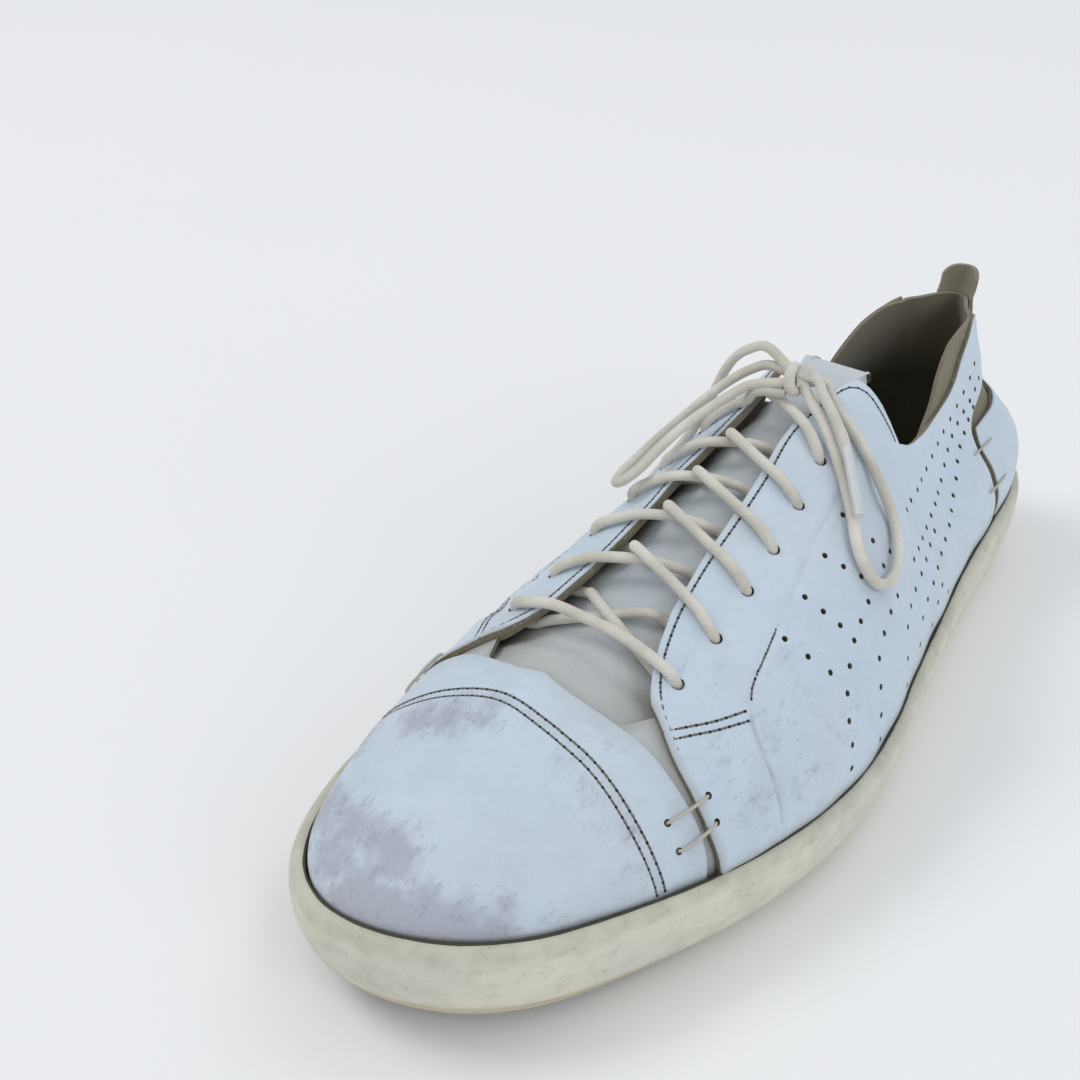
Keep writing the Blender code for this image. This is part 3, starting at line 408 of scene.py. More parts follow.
PLAN = closed_curve([(s * LENGTH, x * BALL_WIDTH) for s, x in OUTER_SIDE + INNER_SIDE], FINE)
ACROSS = np.roll(PLAN, -3, axis=0) - np.roll(PLAN, 3, axis=0)
OUTWARD = unit(np.stack([-ACROSS[:, 1], ACROSS[:, 0]], axis=1))
TOE_INDEX = int(PLAN[:, 0].argmax())
TOE_U = TOE_INDEX / FINE
OUTER_INDEX = np.arange(0, TOE_INDEX + 1)
INNER_INDEX = np.arange(FINE, TOE_INDEX - 1, -1)
RING = np.vstack([PLAN, PLAN[:1]])
RING_OUTWARD = np.vstack([OUTWARD, OUTWARD[:1]])


def plan_point(u, outset=0.0):
    """Distance from the heel and x of the rim at u, moved outwards by outset."""
    place = np.mod(np.asarray(u, dtype=float), 1.0) * FINE
    index = np.arange(FINE + 1)
    s, x = (
        np.interp(place, index, RING[:, k]) + np.interp(place, index, RING_OUTWARD[:, k]) * outset
        for k in range(2)
    )
    return s, x


def ring_u(w):
    """u for a signed w: the inner side's u at the same distance from the heel where w is negative."""
    w = np.asarray(w, dtype=float)
    distance = np.interp(np.abs(w) * FINE, OUTER_INDEX, RING[OUTER_INDEX, 0])
    inner = np.interp(distance, RING[INNER_INDEX, 0], INNER_INDEX) / FINE
    return np.where(w >= 0.0, w, inner)


def signed_w(u):
    """w for a u: negative on the inner side."""
    if u <= TOE_U:
        return u
    distance = float(plan_point(u)[0])
    return -float(np.interp(distance, RING[OUTER_INDEX, 0], OUTER_INDEX)) / FINE


def bare_point(u, v):
    """Point on the last's face before any lift. v below 0 goes straight down into the cup."""
    s, x = plan_point(u, -GAP)
    up = np.maximum(v, 0.0)
    share = s / LENGTH
    spine = HEEL_POLE + POLE_SOFT * np.logaddexp(0.0, (share - HEEL_POLE) / POLE_SOFT)
    spine = TOE_POLE - POLE_SOFT * np.logaddexp(0.0, (TOE_POLE - spine) / POLE_SOFT)
    spine = np.minimum(spine, TOE_STOP)
    ridge = lookup(RIDGE_X, spine)
    angle = up * math.pi / 2.0
    toe = blend((share - 0.70) / 0.20)
    round_x = 2.0 + 0.35 * toe + 0.25 * (1.0 - blend((share - 0.20) / 0.30))
    round_z = 2.0 + 0.15 * toe
    height = np.sin(angle) ** (2.0 / round_z)
    reach = np.maximum(np.cos(angle), 0.0) ** (2.0 / round_x)
    heel = 1.0 - blend((share - 0.24) / 0.26)
    back = (1.0 - blend(np.abs(x) / HEEL_BACK)) * (1.0 - blend((share - 0.06) / 0.10))
    heel_reach = 1.0 - (1.0 - lookup(HEEL_SIDE, height)) * (1.0 - 0.45 * back)
    reach = reach * (1.0 - heel) + heel_reach * heel
    along = spine * LENGTH + (s - spine * LENGTH) * reach
    low = lookup(RIM, share)
    high = lookup(CREST, along / LENGTH)
    z = low + (high - low) * height + np.minimum(v, 0.0) * BELOW_RIM
    return np.stack([ridge + (x - ridge) * reach, HEEL_Y - along, z], axis=-1)


def on_last(u, v, lift=0.0, with_normal=False):
    """Point on the last's face, moved outwards by lift."""
    u, v = np.broadcast_arrays(np.asarray(u, dtype=float), np.asarray(v, dtype=float))
    step = 0.002
    side = np.clip(v, 0.0, 1.0)
    round_way = bare_point(u + step, side) - bare_point(u - step, side)
    up_way = bare_point(u, np.minimum(side + step, 1.0)) - bare_point(u, np.maximum(side - step, 0.0))
    normal = np.cross(up_way, round_way)
    top = side > 0.999
    normal[..., 0] = np.where(top, 0.0, normal[..., 0])
    normal /= np.maximum(np.linalg.norm(normal, axis=-1, keepdims=True), 1e-12)
    normal *= np.where(top & (normal[..., 2] < 0.0), -1.0, 1.0)[..., None]
    point = bare_point(u, v) + normal * (np.asarray(lift, dtype=float) + np.zeros(v.shape))[..., None]
    return (point, normal) if with_normal else point


def smooth_path(points, spacing):
    """Even points on the smooth open curve through the points."""
    points = np.array(points, dtype=float)
    padded = np.vstack([2.0 * points[0] - points[1], points, 2.0 * points[-1] - points[-2]])
    dense = []
    for k in range(len(points) - 1):
        p0, p1, p2, p3 = padded[k:k + 4]
        for t in np.linspace(0.0, 1.0, 12, endpoint=False):
            bend = 2.0 * p1 + (p2 - p0) * t + (2.0 * p0 - 5.0 * p1 + 4.0 * p2 - p3) * t ** 2
            dense.append(0.5 * (bend + (3.0 * p1 - p0 - 3.0 * p2 + p3) * t ** 3))
    dense.append(points[-1])
    dense = np.array(dense)
    along = distances(dense)
    return taken_at(even_steps(along, spacing), along, dense)


def route(rows, spacing):
    """Even points along (u, v, lift) rows."""
    rows = np.array(rows, dtype=float)
    return smooth_path(on_last(rows[:, 0], rows[:, 1], rows[:, 2]), spacing)


def on_face(line, spacing, mirror):
    """Even points along a (w, v) line on the last, with the way along and the way out of each."""
    rows = np.array(line, dtype=float)
    if mirror:
        rows[:, 0] *= -1.0
    dense = smooth_path(rows * (AROUND, UPWARDS), 0.0006)
    w, v = (dense / (AROUND, UPWARDS)).T
    points, normals = on_last(ring_u(w), v, with_normal=True)
    along = distances(points)
    even = even_steps(along, spacing)
    spots = taken_at(even, along, points)
    return spots, unit(np.gradient(spots, axis=0)), unit(taken_at(even, along, normals))


# shader maths


class Value:
    """A socket that adds Math nodes where it is used in an expression."""

    def __init__(self, surface, socket):
        self.surface = surface
        self.socket = socket

    def maths(self, operation, first, second):
        return self.surface.node("ShaderNodeMath", {"operation": operation}, {0: first, 1: second})

    def __add__(self, other):
        return self.maths("ADD", self, other)

    def __radd__(self, other):
        return self.maths("ADD", other, self)

    def __sub__(self, other):
        return self.maths("SUBTRACT", self, other)

    def __rsub__(self, other):
        return self.maths("SUBTRACT", other, self)

    def __mul__(self, other):
        return self.maths("MULTIPLY", self, other)

    def high(self, other):
        return self.maths("MAXIMUM", self, other)

    def sine(self):
        return self.maths("SINE", self, 0.0)

    def size(self):
        return self.maths("ABSOLUTE", self, 0.0)

    def between(self, low, high):
        """0 at low and 1 at high, smooth between them."""
        settings = {"interpolation_type": "SMOOTHSTEP"}
        return self.surface.node("ShaderNodeMapRange", settings, {0: self, 1: low, 2: high, 3: 0.0, 4: 1.0})


class Surface:
    """One material: its tree, its main shader and the few nodes that the finishes need."""

    def __init__(self, name):
        self.material = bpy.data.materials.new(name)
        self.material.use_nodes = True
        self.tree = self.material.node_tree
        self.shader = self.tree.nodes["Principled BSDF"]
        self.place = self.node("ShaderNodeTexCoord", {}, {}, "Object")

    def node(self, kind, settings, values, output=0):
        made = self.tree.nodes.new(kind)
        for name, setting in settings.items():
            setattr(made, name, setting)
        for key, value in values.items():
            self.feed(made.inputs[key], value)
        return Value(self, made.outputs[output])

    def feed(self, socket, value):
        if isinstance(value, Value):
            self.tree.links.new(value.socket, socket)
        else:
            socket.default_value = value

    def noise(self, scale, detail=3.0, rough=0.55, at=None):
        values = {"Vector": at or self.place, "Scale": scale, "Detail": detail, "Roughness": rough}
        return self.node("ShaderNodeTexNoise", {}, values)

    def cells(self, scale):
        return self.node("ShaderNodeTexVoronoi", {}, {"Vector": self.place, "Scale": scale})

    def stretched(self, scale, turn=(0.0, 0.0, 0.0)):
        return self.node("ShaderNodeMapping", {}, {"Vector": self.place, "Rotation": turn, "Scale": scale})

    def paint(self, name):
        """A number kept on the mesh."""
        return self.node("ShaderNodeAttribute", {"attribute_name": name}, {}, "Fac")

    def mix(self, share, first, second):
        made = self.tree.nodes.new("ShaderNodeMix")
        made.data_type = "RGBA"
        self.feed(made.inputs[0], share)
        for socket, colour in ((made.inputs[6], first), (made.inputs[7], second)):
            self.feed(socket, colour if isinstance(colour, Value) else (*colour, 1.0))
        return Value(self, made.outputs[2])

    def bump(self, height, strength, distance, under=None):
        values = {"Height": height, "Strength": strength, "Distance": distance}
        if under is not None:
            values["Normal"] = under
        return self.node("ShaderNodeBump", {}, values)

    def done(self, colour, roughness, normal=None, **fixed):
        self.feed(self.shader.inputs["Base Color"], colour if isinstance(colour, Value) else (*colour, 1.0))
        self.feed(self.shader.inputs["Roughness"], roughness)
        if normal is not None:
            self.feed(self.shader.inputs["Normal"], normal)
        for name, value in fixed.items():
            self.shader.inputs[name.replace("_", " ")].default_value = value
        return self.material


def white_leather():
    """Smooth painted leather with a cool cast, rubbed to lavender grey where the toe scuffs."""
    s = Surface("white leather")
    worn = s.paint("worn")
    dirt_and_shade = s.paint("dirt_and_shade")
    broad = s.noise(26.0, 3.0)
    mottle = s.noise(190.0, 5.0, 0.65)
    flecks = s.noise(900.0, 3.0, 0.6)
    brushed = s.noise(420.0, 4.0, 0.7, s.stretched((1.0, 0.25, 1.0), (0.0, 0.0, 0.5)))
    base = s.mix(broad.between(0.35, 0.65), (0.575, 0.668, 0.770), (0.618, 0.694, 0.772))
    base = s.mix(mottle.between(0.45, 0.75) * 0.35, base, (0.500, 0.595, 0.720))
    base = s.mix(s.noise(13.0, 4.0, 0.65).between(0.46, 0.70) * 0.30, base, (0.480, 0.525, 0.585))
    rubbed = (worn * 1.15 + mottle * 0.8 + brushed * 0.75 - 1.10).between(-0.05, 0.55)
    base = s.mix(rubbed * 0.80, base, (0.395, 0.400, 0.470))
    scratched = (worn + 0.08) * (flecks * brushed * 2.2).between(0.60, 0.82)
    base = s.mix(scratched.between(0.05, 0.60) * 0.42, base, (0.300, 0.325, 0.400))
    smudge = (s.noise(62.0, 4.0, 0.6) + flecks * 0.25).between(0.62, 0.86)
    base = s.mix(smudge * 0.18, base, (0.410, 0.430, 0.490))
    # Darker grey brown where the mesh's darkening paint is high: soiling by the sole, darkening along some
    # edges, and painted shade in the creases, in the seam grooves, along the throat and next to the joint
    # with the sole.
    dirt_and_shade_share = (dirt_and_shade * 1.2 + mottle * 0.5 - 0.30).between(0.0, 0.8)
    base = s.mix(dirt_and_shade_share * 0.45, base, (0.300, 0.290, 0.250))
    grain = s.cells(1150.0) * 0.6 + s.noise(1500.0, 3.0) * 0.6
    wrinkle = s.noise(300.0, 4.0, 0.6)
    normal = s.bump(wrinkle, 0.20, 0.0006)
    normal = s.bump(grain - rubbed * 0.25, 0.20, 0.00022, normal)
    roughness = 0.40 + mottle * 0.16 + rubbed * 0.14 + dirt_and_shade_share * 0.10
    return s.done(base, roughness, normal, Specular_IOR_Level=0.42)


def raw_edge():
    """Cut edge of the leather: olive brown with pale fibres."""
    s = Surface("raw leather edge")
    speck = s.noise(1500.0, 4.0, 0.7)
    broad = s.noise(160.0, 3.0)
    base = s.mix(broad, (0.150, 0.130, 0.085), (0.260, 0.235, 0.170))
    base = s.mix(speck.between(0.55, 0.70), base, (0.520, 0.500, 0.420))
    return s.done(base, 0.9, s.bump(speck, 0.55, 0.0005), Specular_IOR_Level=0.2)


def suede(name, dark, light):
    """Napped leather between two colours, mixed towards near black where the mesh's darkening paint is high.
    """
    s = Surface(name)
    nap = s.noise(520.0, 5.0, 0.7)
    fibre = s.noise(2600.0, 3.0, 0.6)
    broad = s.noise(40.0, 3.0)
    base = s.mix(broad * 0.6 + nap * 0.5, dark, light)
    base = s.mix(s.paint("dirt_and_shade") * 0.5, base, (0.060, 0.050, 0.035))
    normal = s.bump(nap, 0.25, 0.0006)
    normal = s.bump(fibre, 0.45, 0.0004, normal)
    return s.done(base, 0.95, normal, Specular_IOR_Level=0.15, Sheen_Weight=0.25, Sheen_Roughness=0.6)


def tongue_leather():
    """Soft pale leather with broad low waves, greyer with soiling and with painted shade where it lies under
    other pieces.
    """
    s = Surface("tongue leather")
    broad = s.noise(38.0, 3.0)
    fine = s.noise(420.0, 5.0, 0.65)
    base = s.mix(broad.between(0.3, 0.7), (0.560, 0.620, 0.670), (0.620, 0.660, 0.690))
    base = s.mix((s.paint("dirt_and_shade") + fine * 0.3 - 0.25).between(0.0, 0.9) * 0.60, base, (0.330, 0.310, 0.255))
    normal = s.bump(s.noise(120.0, 3.0), 0.30, 0.0012)
    normal = s.bump(s.cells(1000.0) + fine, 0.20, 0.00025, normal)
    return s.done(base, 0.60 + fine * 0.15, normal, Specular_IOR_Level=0.35)


def cream_rubber():
    """Moulded rubber wall: cream, greyer towards the top, yellow along its lower edge, scuffed."""
    s = Surface("cream rubber")
    low = s.paint("low")
    top = s.paint("top")
    broad = s.noise(30.0, 4.0)
    patch = s.noise(110.0, 4.0, 0.65)
    smear = s.noise(260.0, 4.0, 0.65, s.stretched((0.55, 0.55, 1.2)))
    fine = s.noise(1300.0, 3.0)
    base = s.mix(broad.between(0.35, 0.70), (0.665, 0.655, 0.555), (0.715, 0.695, 0.580))
    base = s.mix((patch * 0.8 + smear * 0.5 - 0.42).between(0.12, 0.45) * 0.45, base, (0.470, 0.475, 0.385))
    base = s.mix((low + patch * 0.3 - 0.20).between(0.20, 0.95) * 0.65, base, (0.560, 0.470, 0.300))
    base = s.mix((top + smear * 0.5 - 0.70).between(0.10, 0.75) * 0.50, base, (0.400, 0.400, 0.320))
    marks = (smear * fine * 2.0).between(0.60, 0.85)
    base = s.mix(marks * 0.35, base, (0.300, 0.295, 0.235))
    normal = s.bump(s.noise(70.0, 3.0), 0.22, 0.0010)
    normal = s.bump(fine * 0.6 + smear * 0.8, 0.16, 0.0003, normal)
    return s.done(base, 0.50 + patch * 0.22, normal, Specular_IOR_Level=0.38)


def worn_rubber():
    """Rubber of the underside, brown grey from the ground."""
    s = Surface("worn outsole rubber")
    patch = s.noise(90.0, 4.0, 0.65)
    fine = s.noise(1100.0, 3.0)
    base = s.mix(patch.between(0.3, 0.7), (0.360, 0.320, 0.220), (0.220, 0.205, 0.160))
    base = s.mix(fine.between(0.5, 0.7) * 0.4, base, (0.120, 0.115, 0.100))
    return s.done(base, 0.75, s.bump(fine + patch, 0.3, 0.0004))


def welt_shade_paint():
    """Nearly black painted shade of the gap above the sole, with specks of soil and glue."""
    s = Surface("painted shade in the welt")
    speck = s.noise(900.0, 4.0, 0.6)
    base = s.mix(speck, (0.045, 0.042, 0.030), (0.105, 0.098, 0.070))
    return s.done(base, 0.9, s.bump(speck, 0.4, 0.0004), Specular_IOR_Level=0.2)


def lace_cotton():
    """Round braid that has gone grey brown where fingers and dust reach it, with painted shade in the
    grooves of its braid and where it goes into the eyelets.
    """
    s = Surface("lace cotton")
    uv = s.node("ShaderNodeUVMap", {"uv_map": "braid"}, {})
    round_way = s.node("ShaderNodeSeparateXYZ", {}, {0: uv}, "X") * (2.0 * math.pi)
    along = s.node("ShaderNodeSeparateXYZ", {}, {0: uv}, "Y") * (2.0 * math.pi)
    first = (round_way * 4.0 + along * 1.6).sine()
    second = (round_way * 4.0 - along * 1.6).sine()
    braid = first.size().high(second.size())
    broad = s.noise(75.0, 4.0, 0.6)
    fibre = s.noise(2400.0, 3.0)
    base = s.mix(broad.between(0.35, 0.68), (0.770, 0.750, 0.685), (0.640, 0.610, 0.530))
    # painted shade in the grooves of the braid
    base = s.mix((1.0 - braid).between(0.25, 0.8) * 0.35, base, (0.400, 0.370, 0.300))
    base = s.mix(s.paint("dirt_and_shade") * 0.55, base, (0.300, 0.270, 0.210))
    normal = s.bump(braid, 0.35, 0.00030)
    normal = s.bump(fibre, 0.35, 0.00018, normal)
    return s.done(base, 0.88, normal, Specular_IOR_Level=0.2, Sheen_Weight=0.15)


def thread(name, dark, light):
    """Twisted thread between two colours. Made nearly black, it is also the painted shade in the stitches'
    holes.
    """
    s = Surface(name)
    twist = s.noise(1800.0, 3.0)
    base = s.mix(twist, dark, light)
    return s.done(base, 0.8, s.bump(twist, 0.4, 0.0002), Specular_IOR_Level=0.2)


def aglet_plastic():
    s = Surface("aglet plastic")
    haze = s.noise(300.0, 3.0)
    base = s.mix(haze, (0.560, 0.590, 0.600), (0.680, 0.690, 0.670))
    return s.done(base, 0.28 + haze * 0.15, s.bump(haze, 0.1, 0.0003), Coat_Weight=0.3)


def studio_floor():
    s = Surface("studio floor")
    tone = s.noise(3.0, 2.0)
    base = s.mix(tone, (0.900, 0.902, 0.908), (0.915, 0.915, 0.918))
    return s.done(base, 0.8, None, Specular_IOR_Level=0.2)


# meshes


def added(name, data):
    """New object in the scene."""
    made = bpy.data.objects.new(name, data)
    bpy.context.collection.objects.link(made)
    return made


def applied(body):
    """Gives the body the mesh that its modifiers make."""
    bpy.context.view_layer.update()
    whole = bpy.data.meshes.new_from_object(body.evaluated_get(bpy.context.evaluated_depsgraph_get()))
    body.modifiers.clear()
    body.data = whole
    return whole


def build_mesh(name, points, faces, materials, kinds=None, numbers=None, sharp=SHARP_SHEET):
    """Object from points and faces. Equal points become one. numbers are kept per point."""
    points = np.asarray(points, dtype=float)
    keys = np.round(points * 2e6).astype(np.int64)
    _, first, index = np.unique(keys, axis=0, return_index=True, return_inverse=True)
    index = index.reshape(-1)
    kept, slots = [], []
    for k, face in enumerate(faces):
        corners = []
        for corner in face:
            corner = int(index[corner])
            if corner not in corners:
                corners.append(corner)
        if len(corners) > 2:
            kept.append(corners)
            slots.append(0 if kinds is None else kinds[k])
    mesh = bpy.data.meshes.new(name)
    mesh.from_pydata([tuple(p) for p in points[first]], [], kept)
    mesh.validate()
    for one in materials:
        mesh.materials.append(one)
    if len(mesh.polygons) == len(slots):
        mesh.polygons.foreach_set("material_index", slots)
    mesh.shade_smooth()
    mesh.set_sharp_from_angle(angle=sharp)
    for key, values in (numbers or {}).items():
        layer = mesh.attributes.new(key, "FLOAT", "POINT")
        layer.data.foreach_set("value", np.asarray(values, dtype=float)[first])
    return added(name, mesh)


def two_faced(name, outer, inner, materials, numbers=None, joined_ends=False, side_slots=(2, 2, 2, 2)):
    """Closed body between two grids of (columns, rows). Slot 0 is outside and 1 inside.

    side_slots are the slots of the walls at the first column, last column, first row and last row.
    None leaves a wall out, where two halves of a grid already meet.
    """
    columns, rows = outer.shape[:2]
    shift = columns * rows
    points = np.vstack([outer.reshape(-1, 3), inner.reshape(-1, 3)])
    faces, kinds = [], []
    span = columns if joined_ends else columns - 1
    for c in range(span):
        n = (c + 1) % columns
        for r in range(rows - 1):
            ring = [c * rows + r, n * rows + r, n * rows + r + 1, c * rows + r + 1]
            faces.append(list(reversed(ring)))
            kinds.append(0)
            faces.append([k + shift for k in ring])
            kinds.append(1)
        faces.append([n * rows, n * rows + shift, c * rows + shift, c * rows])
        kinds.append(side_slots[2])
        if side_slots[3] is not None:
            here = c * rows + rows - 1
            there = n * rows + rows - 1
            faces.append([here, here + shift, there + shift, there])
            kinds.append(side_slots[3])
    if not joined_ends:
        base = (columns - 1) * rows
        for r in range(rows - 1):
            faces.append([r, r + shift, r + 1 + shift, r + 1])
            kinds.append(side_slots[0])
            if side_slots[1] is not None:
                faces.append([base + r + 1, base + r + 1 + shift, base + r + shift, base + r])
                kinds.append(side_slots[1])
    values = {}
    for key, grid in (numbers or {}).items():
        flat = grid.reshape(-1)
        values[key] = np.r_[flat, flat]
    return build_mesh(name, points, faces, materials, kinds, values)


def spread(first, last, count, tight):
    """Values from first to last, close together at both ends."""
    way = 1.0 if last > first else -1.0
    near = [0.0, 0.35 * tight, tight, 2.0 * tight]
    middle = np.linspace(3.4 * tight, abs(last - first) - 3.4 * tight, max(2, count - 8))
    far = [abs(last - first) - k for k in reversed(near)]
    return first + way * np.array(near + list(middle) + far)


def edge_fall(count):
    """How far each line of a grid is let down to round its edge: 1 at both ends and 0 inside."""
    return np.maximum(top_fall(count), top_fall(count)[::-1])


def top_fall(count):
    """The same for the last lines only."""
    fall = np.zeros(count)
    fall[-len(EDGE_SHARES):] = EDGE_SHARES[::-1]
    return fall


def rim_darkening(v, fade):
    """Darkening by the sole: 1 at the rim, gone some way above it. On the outer leather it is soiling,
    deepened into painted shade next to the joint with the sole.
    """
    return np.exp(-np.clip(v, 0.0, 1.0) / fade)


# Painted shade, with soiling, in the fine creases and seam grooves: darker in proportion to their depth.
def crease_shade_and_soil(depth, shape):
    return np.clip(depth, 0.0, 1.0).reshape(shape) / DARKEST_CREASE


def trough(points, lines):
    """Sum of the creases' depths at the points. lines are (polyline in metres, depth, half width)."""
    total = np.zeros(len(points))
    for path, depth, half in lines:
        near = np.full(len(points), 1.0)
        for a, b in zip(path[:-1], path[1:]):
            ab = b - a
            t = np.clip(((points - a) @ ab) / max(float(ab @ ab), 1e-12), 0.0, 1.0)
            near = np.minimum(near, np.linalg.norm(points - (a + t[:, None] * ab), axis=1))
        total += depth * (np.exp(-(near / half) ** 2) - 0.38 * np.exp(-((near - 1.9 * half) / half) ** 2))
    return total


def crease_lines(creases, mirror=False):
    return [(on_face(line, 0.004, mirror)[0], depth, half) for line, depth, half in creases]


def worn_value(points):
    """How rubbed the leather is at the points, from the list of patches."""
    total = np.zeros(len(points))
    for w, v, radius, strength in WORN:
        centre = on_last(ring_u(w), v)
        near = np.linalg.norm(points - centre, axis=1) / radius
        total = np.maximum(total, strength * np.exp(-near ** 2))
    return total


def swell(points):
    """Slight unevenness of leather that has taken the shape of a foot."""
    x, y, z = points.T
    broad = 0.00022 * np.sin(95.0 * y + 40.0 * x) * np.sin(120.0 * z + 60.0 * y)
    return broad + 0.00012 * np.sin(260.0 * y + 170.0 * z)


# what repeats, by Geometry Nodes


def repeat_tree(name, shape_kind, shape_sizes):
    """Tree that sets one small shape on every point, turned by the point's way out and way along."""
    tree = bpy.data.node_groups.new(name, "GeometryNodeTree")
    face = tree.interface
    face.new_socket("Geometry", in_out="INPUT", socket_type="NodeSocketGeometry")
    for label in ("Long", "Wide", "Deep"):
        face.new_socket(label, in_out="INPUT", socket_type="NodeSocketFloat")
    face.new_socket("Material", in_out="INPUT", socket_type="NodeSocketMaterial")
    face.new_socket("Geometry", in_out="OUTPUT", socket_type="NodeSocketGeometry")

    def node(kind, values, output=None, **settings):
        """New node with its settings, and its inputs linked or set. Returns the output that is asked for."""
        made = tree.nodes.new(kind)
        for label, setting in settings.items():
            setattr(made, label, setting)
        for label, value in values.items():
            if isinstance(value, bpy.types.NodeSocket):
                tree.links.new(value, made.inputs[label])
            else:
                made.inputs[label].default_value = value
        return made.outputs[output] if output else made

    given = tree.nodes.new("NodeGroupInput").outputs
    lengths = {"X": given["Long"], "Y": given["Wide"], "Z": given["Deep"]}
    size = node("ShaderNodeCombineXYZ", lengths, "Vector")
    shape = node(shape_kind, shape_sizes, "Mesh")
    scaled = node("GeometryNodeTransform", {"Geometry": shape, "Scale": size}, "Geometry")
    out, along = (
        node("GeometryNodeInputNamedAttribute", {"Name": label}, "Attribute", data_type="FLOAT_VECTOR")
        for label in ("out", "along")
    )
    axes = {"Primary Axis": out, "Secondary Axis": along}
    turn = node("FunctionNodeAxesToRotation", axes, "Rotation", primary_axis="Z", secondary_axis="X")
    places = {"Points": given["Geometry"], "Instance": scaled, "Rotation": turn}
    spots = node("GeometryNodeInstanceOnPoints", places, "Instances")
    real = node("GeometryNodeRealizeInstances", {"Geometry": spots}, "Geometry")
    painted = node("GeometryNodeSetMaterial", {"Geometry": real, "Material": given["Material"]}, "Geometry")
    node("NodeGroupOutput", {"Geometry": painted})
    return tree


def repeat(name, tree, spots, along, out, sizes, material, smooth=True):
    """Plain mesh of one small shape on every spot."""
    mesh = bpy.data.meshes.new(name)
    mesh.from_pydata([tuple(p) for p in spots], [], [])
    for label, ways in (("out", out), ("along", along)):
        layer = mesh.attributes.new(label, "FLOAT_VECTOR", "POINT")
        layer.data.foreach_set("vector", np.asarray(ways, dtype=float).reshape(-1))
    seed = added(name, mesh)
    change = seed.modifiers.new("repeat", "NODES")
    change.node_group = tree
    values = {"Long": sizes[0], "Wide": sizes[1], "Deep": sizes[2], "Material": material}
    for item in tree.interface.items_tree:
        if item.in_out == "INPUT" and item.name in values:
            change[item.identifier] = values[item.name]
    whole = applied(seed)
    if not whole.materials:
        whole.materials.append(material)
    if smooth:
        whole.shade_smooth()
    return seed


def pierce(body, u, v, radius, deep, wall, lift=0.0):
    """Round holes through a body at places on the last, with walls of the material wall."""
    spots, out = on_last(u, v, lift, with_normal=True)
    along = np.cross(out, (0.0, 0.0, 1.0))
    short = np.linalg.norm(along, axis=1) < 0.1
    along[short] = (1.0, 0.0, 0.0)
    cutter = repeat("cutter", HOLE_TREE, spots, along, out, (2.0 * radius, 2.0 * radius, deep), wall, False)
    change = body.modifiers.new("holes", "BOOLEAN")
    change.operation = "DIFFERENCE"
    change.solver = "MANIFOLD"
    change.material_mode = "TRANSFER"
    change.object = cutter
    whole = applied(body)
    whole.shade_smooth()
    whole.set_sharp_from_angle(angle=SHARP_SHEET)
    bpy.data.objects.remove(cutter, do_unlink=True)


def stitch_row(store, line, relief):
    """Adds a row of stitches between its pricks. relief gives the leather's lift at points."""
    spots, way, out = line
    middle = 0.5 * (spots[:-1] + spots[1:])
    middle_out = 0.5 * (out[:-1] + out[1:])
    middle = middle + middle_out * (relief(middle)[0] + STITCH_RISE)[:, None]
    pricks = spots + out * relief(spots)[0][:, None]
    store.append((middle, 0.5 * (way[:-1] + way[1:]), middle_out, pricks, way, out))


# the upper


def collar_top(u):
    """v of the top edge of the quarter at u."""
    return np.where(u < NOTCH_U, lookup(COLLAR, np.minimum(u, NOTCH_U)), straight(EYESTAY, u))


def top_at(station, front):
    """v of the quarter's top edge for a grid column, which leans forward with the front edge."""
    top = float(collar_top(station))
    if station <= NOTCH_U:
        return top
    for _ in range(12):
        share = (station - NOTCH_U) / (front - NOTCH_U)
        top = float(collar_top(NOTCH_U + (float(lookup(FRONT_EDGE, top)) - NOTCH_U) * share))
    return top


def quarter_grid(low, back, front, count_u, count_v, inset=0.0):
    """w and v of a quarter panel on the outer side, rows following its top edge."""
    notch = np.linspace(0.1870, 0.1975, 22)
    plain = back + (front - back) * spread(0.0, 1.0, count_u, 0.0022)
    plain = plain[(plain < notch[0] - 0.0008) | (plain > notch[-1] + 0.0008)]
    stations = np.sort(np.r_[plain, notch])
    tight = np.array([0.0, 0.35, 1.0, 2.0]) * 0.0052
    u_grid = np.zeros((len(stations), count_v))
    v_grid = np.zeros_like(u_grid)
    for c, station in enumerate(stations):
        top = top_at(station, front) - inset
        fixed = np.linspace(low, 0.36, int(count_v * 0.5))
        upper = np.linspace(0.36, top - 9.6 * tight[1], count_v - len(fixed) - 3)[1:]
        v = np.r_[fixed, upper, top - tight[::-1]]
        v_grid[c] = v
        if station <= NOTCH_U:
            u_back = lookup(BACK_EDGE, np.clip(v, 0.0, 1.0)) + inset * 0.1
            u_grid[c] = u_back + (NOTCH_U - u_back) * ((station - back) / (NOTCH_U - back))
        else:
            u_front = lookup(FRONT_EDGE, np.clip(v, 0.0, 1.0)) - inset * 0.1
            u_grid[c] = NOTCH_U + (u_front - NOTCH_U) * ((station - NOTCH_U) / (front - NOTCH_U))
    return u_grid, v_grid


def both_sides(rows):
    """v up one side over the rows and down the other, with the sign of each side."""
    side = np.r_[np.ones(len(rows)), -np.ones(len(rows) - 1)]
    return np.r_[rows, rows[::-1][1:]], side


def close_toe(grid, half):
    """Gives the far half of the last column the points of the near half, so that the two meet."""
    grid[-1, half:] = grid[-1, :half - 1][::-1]


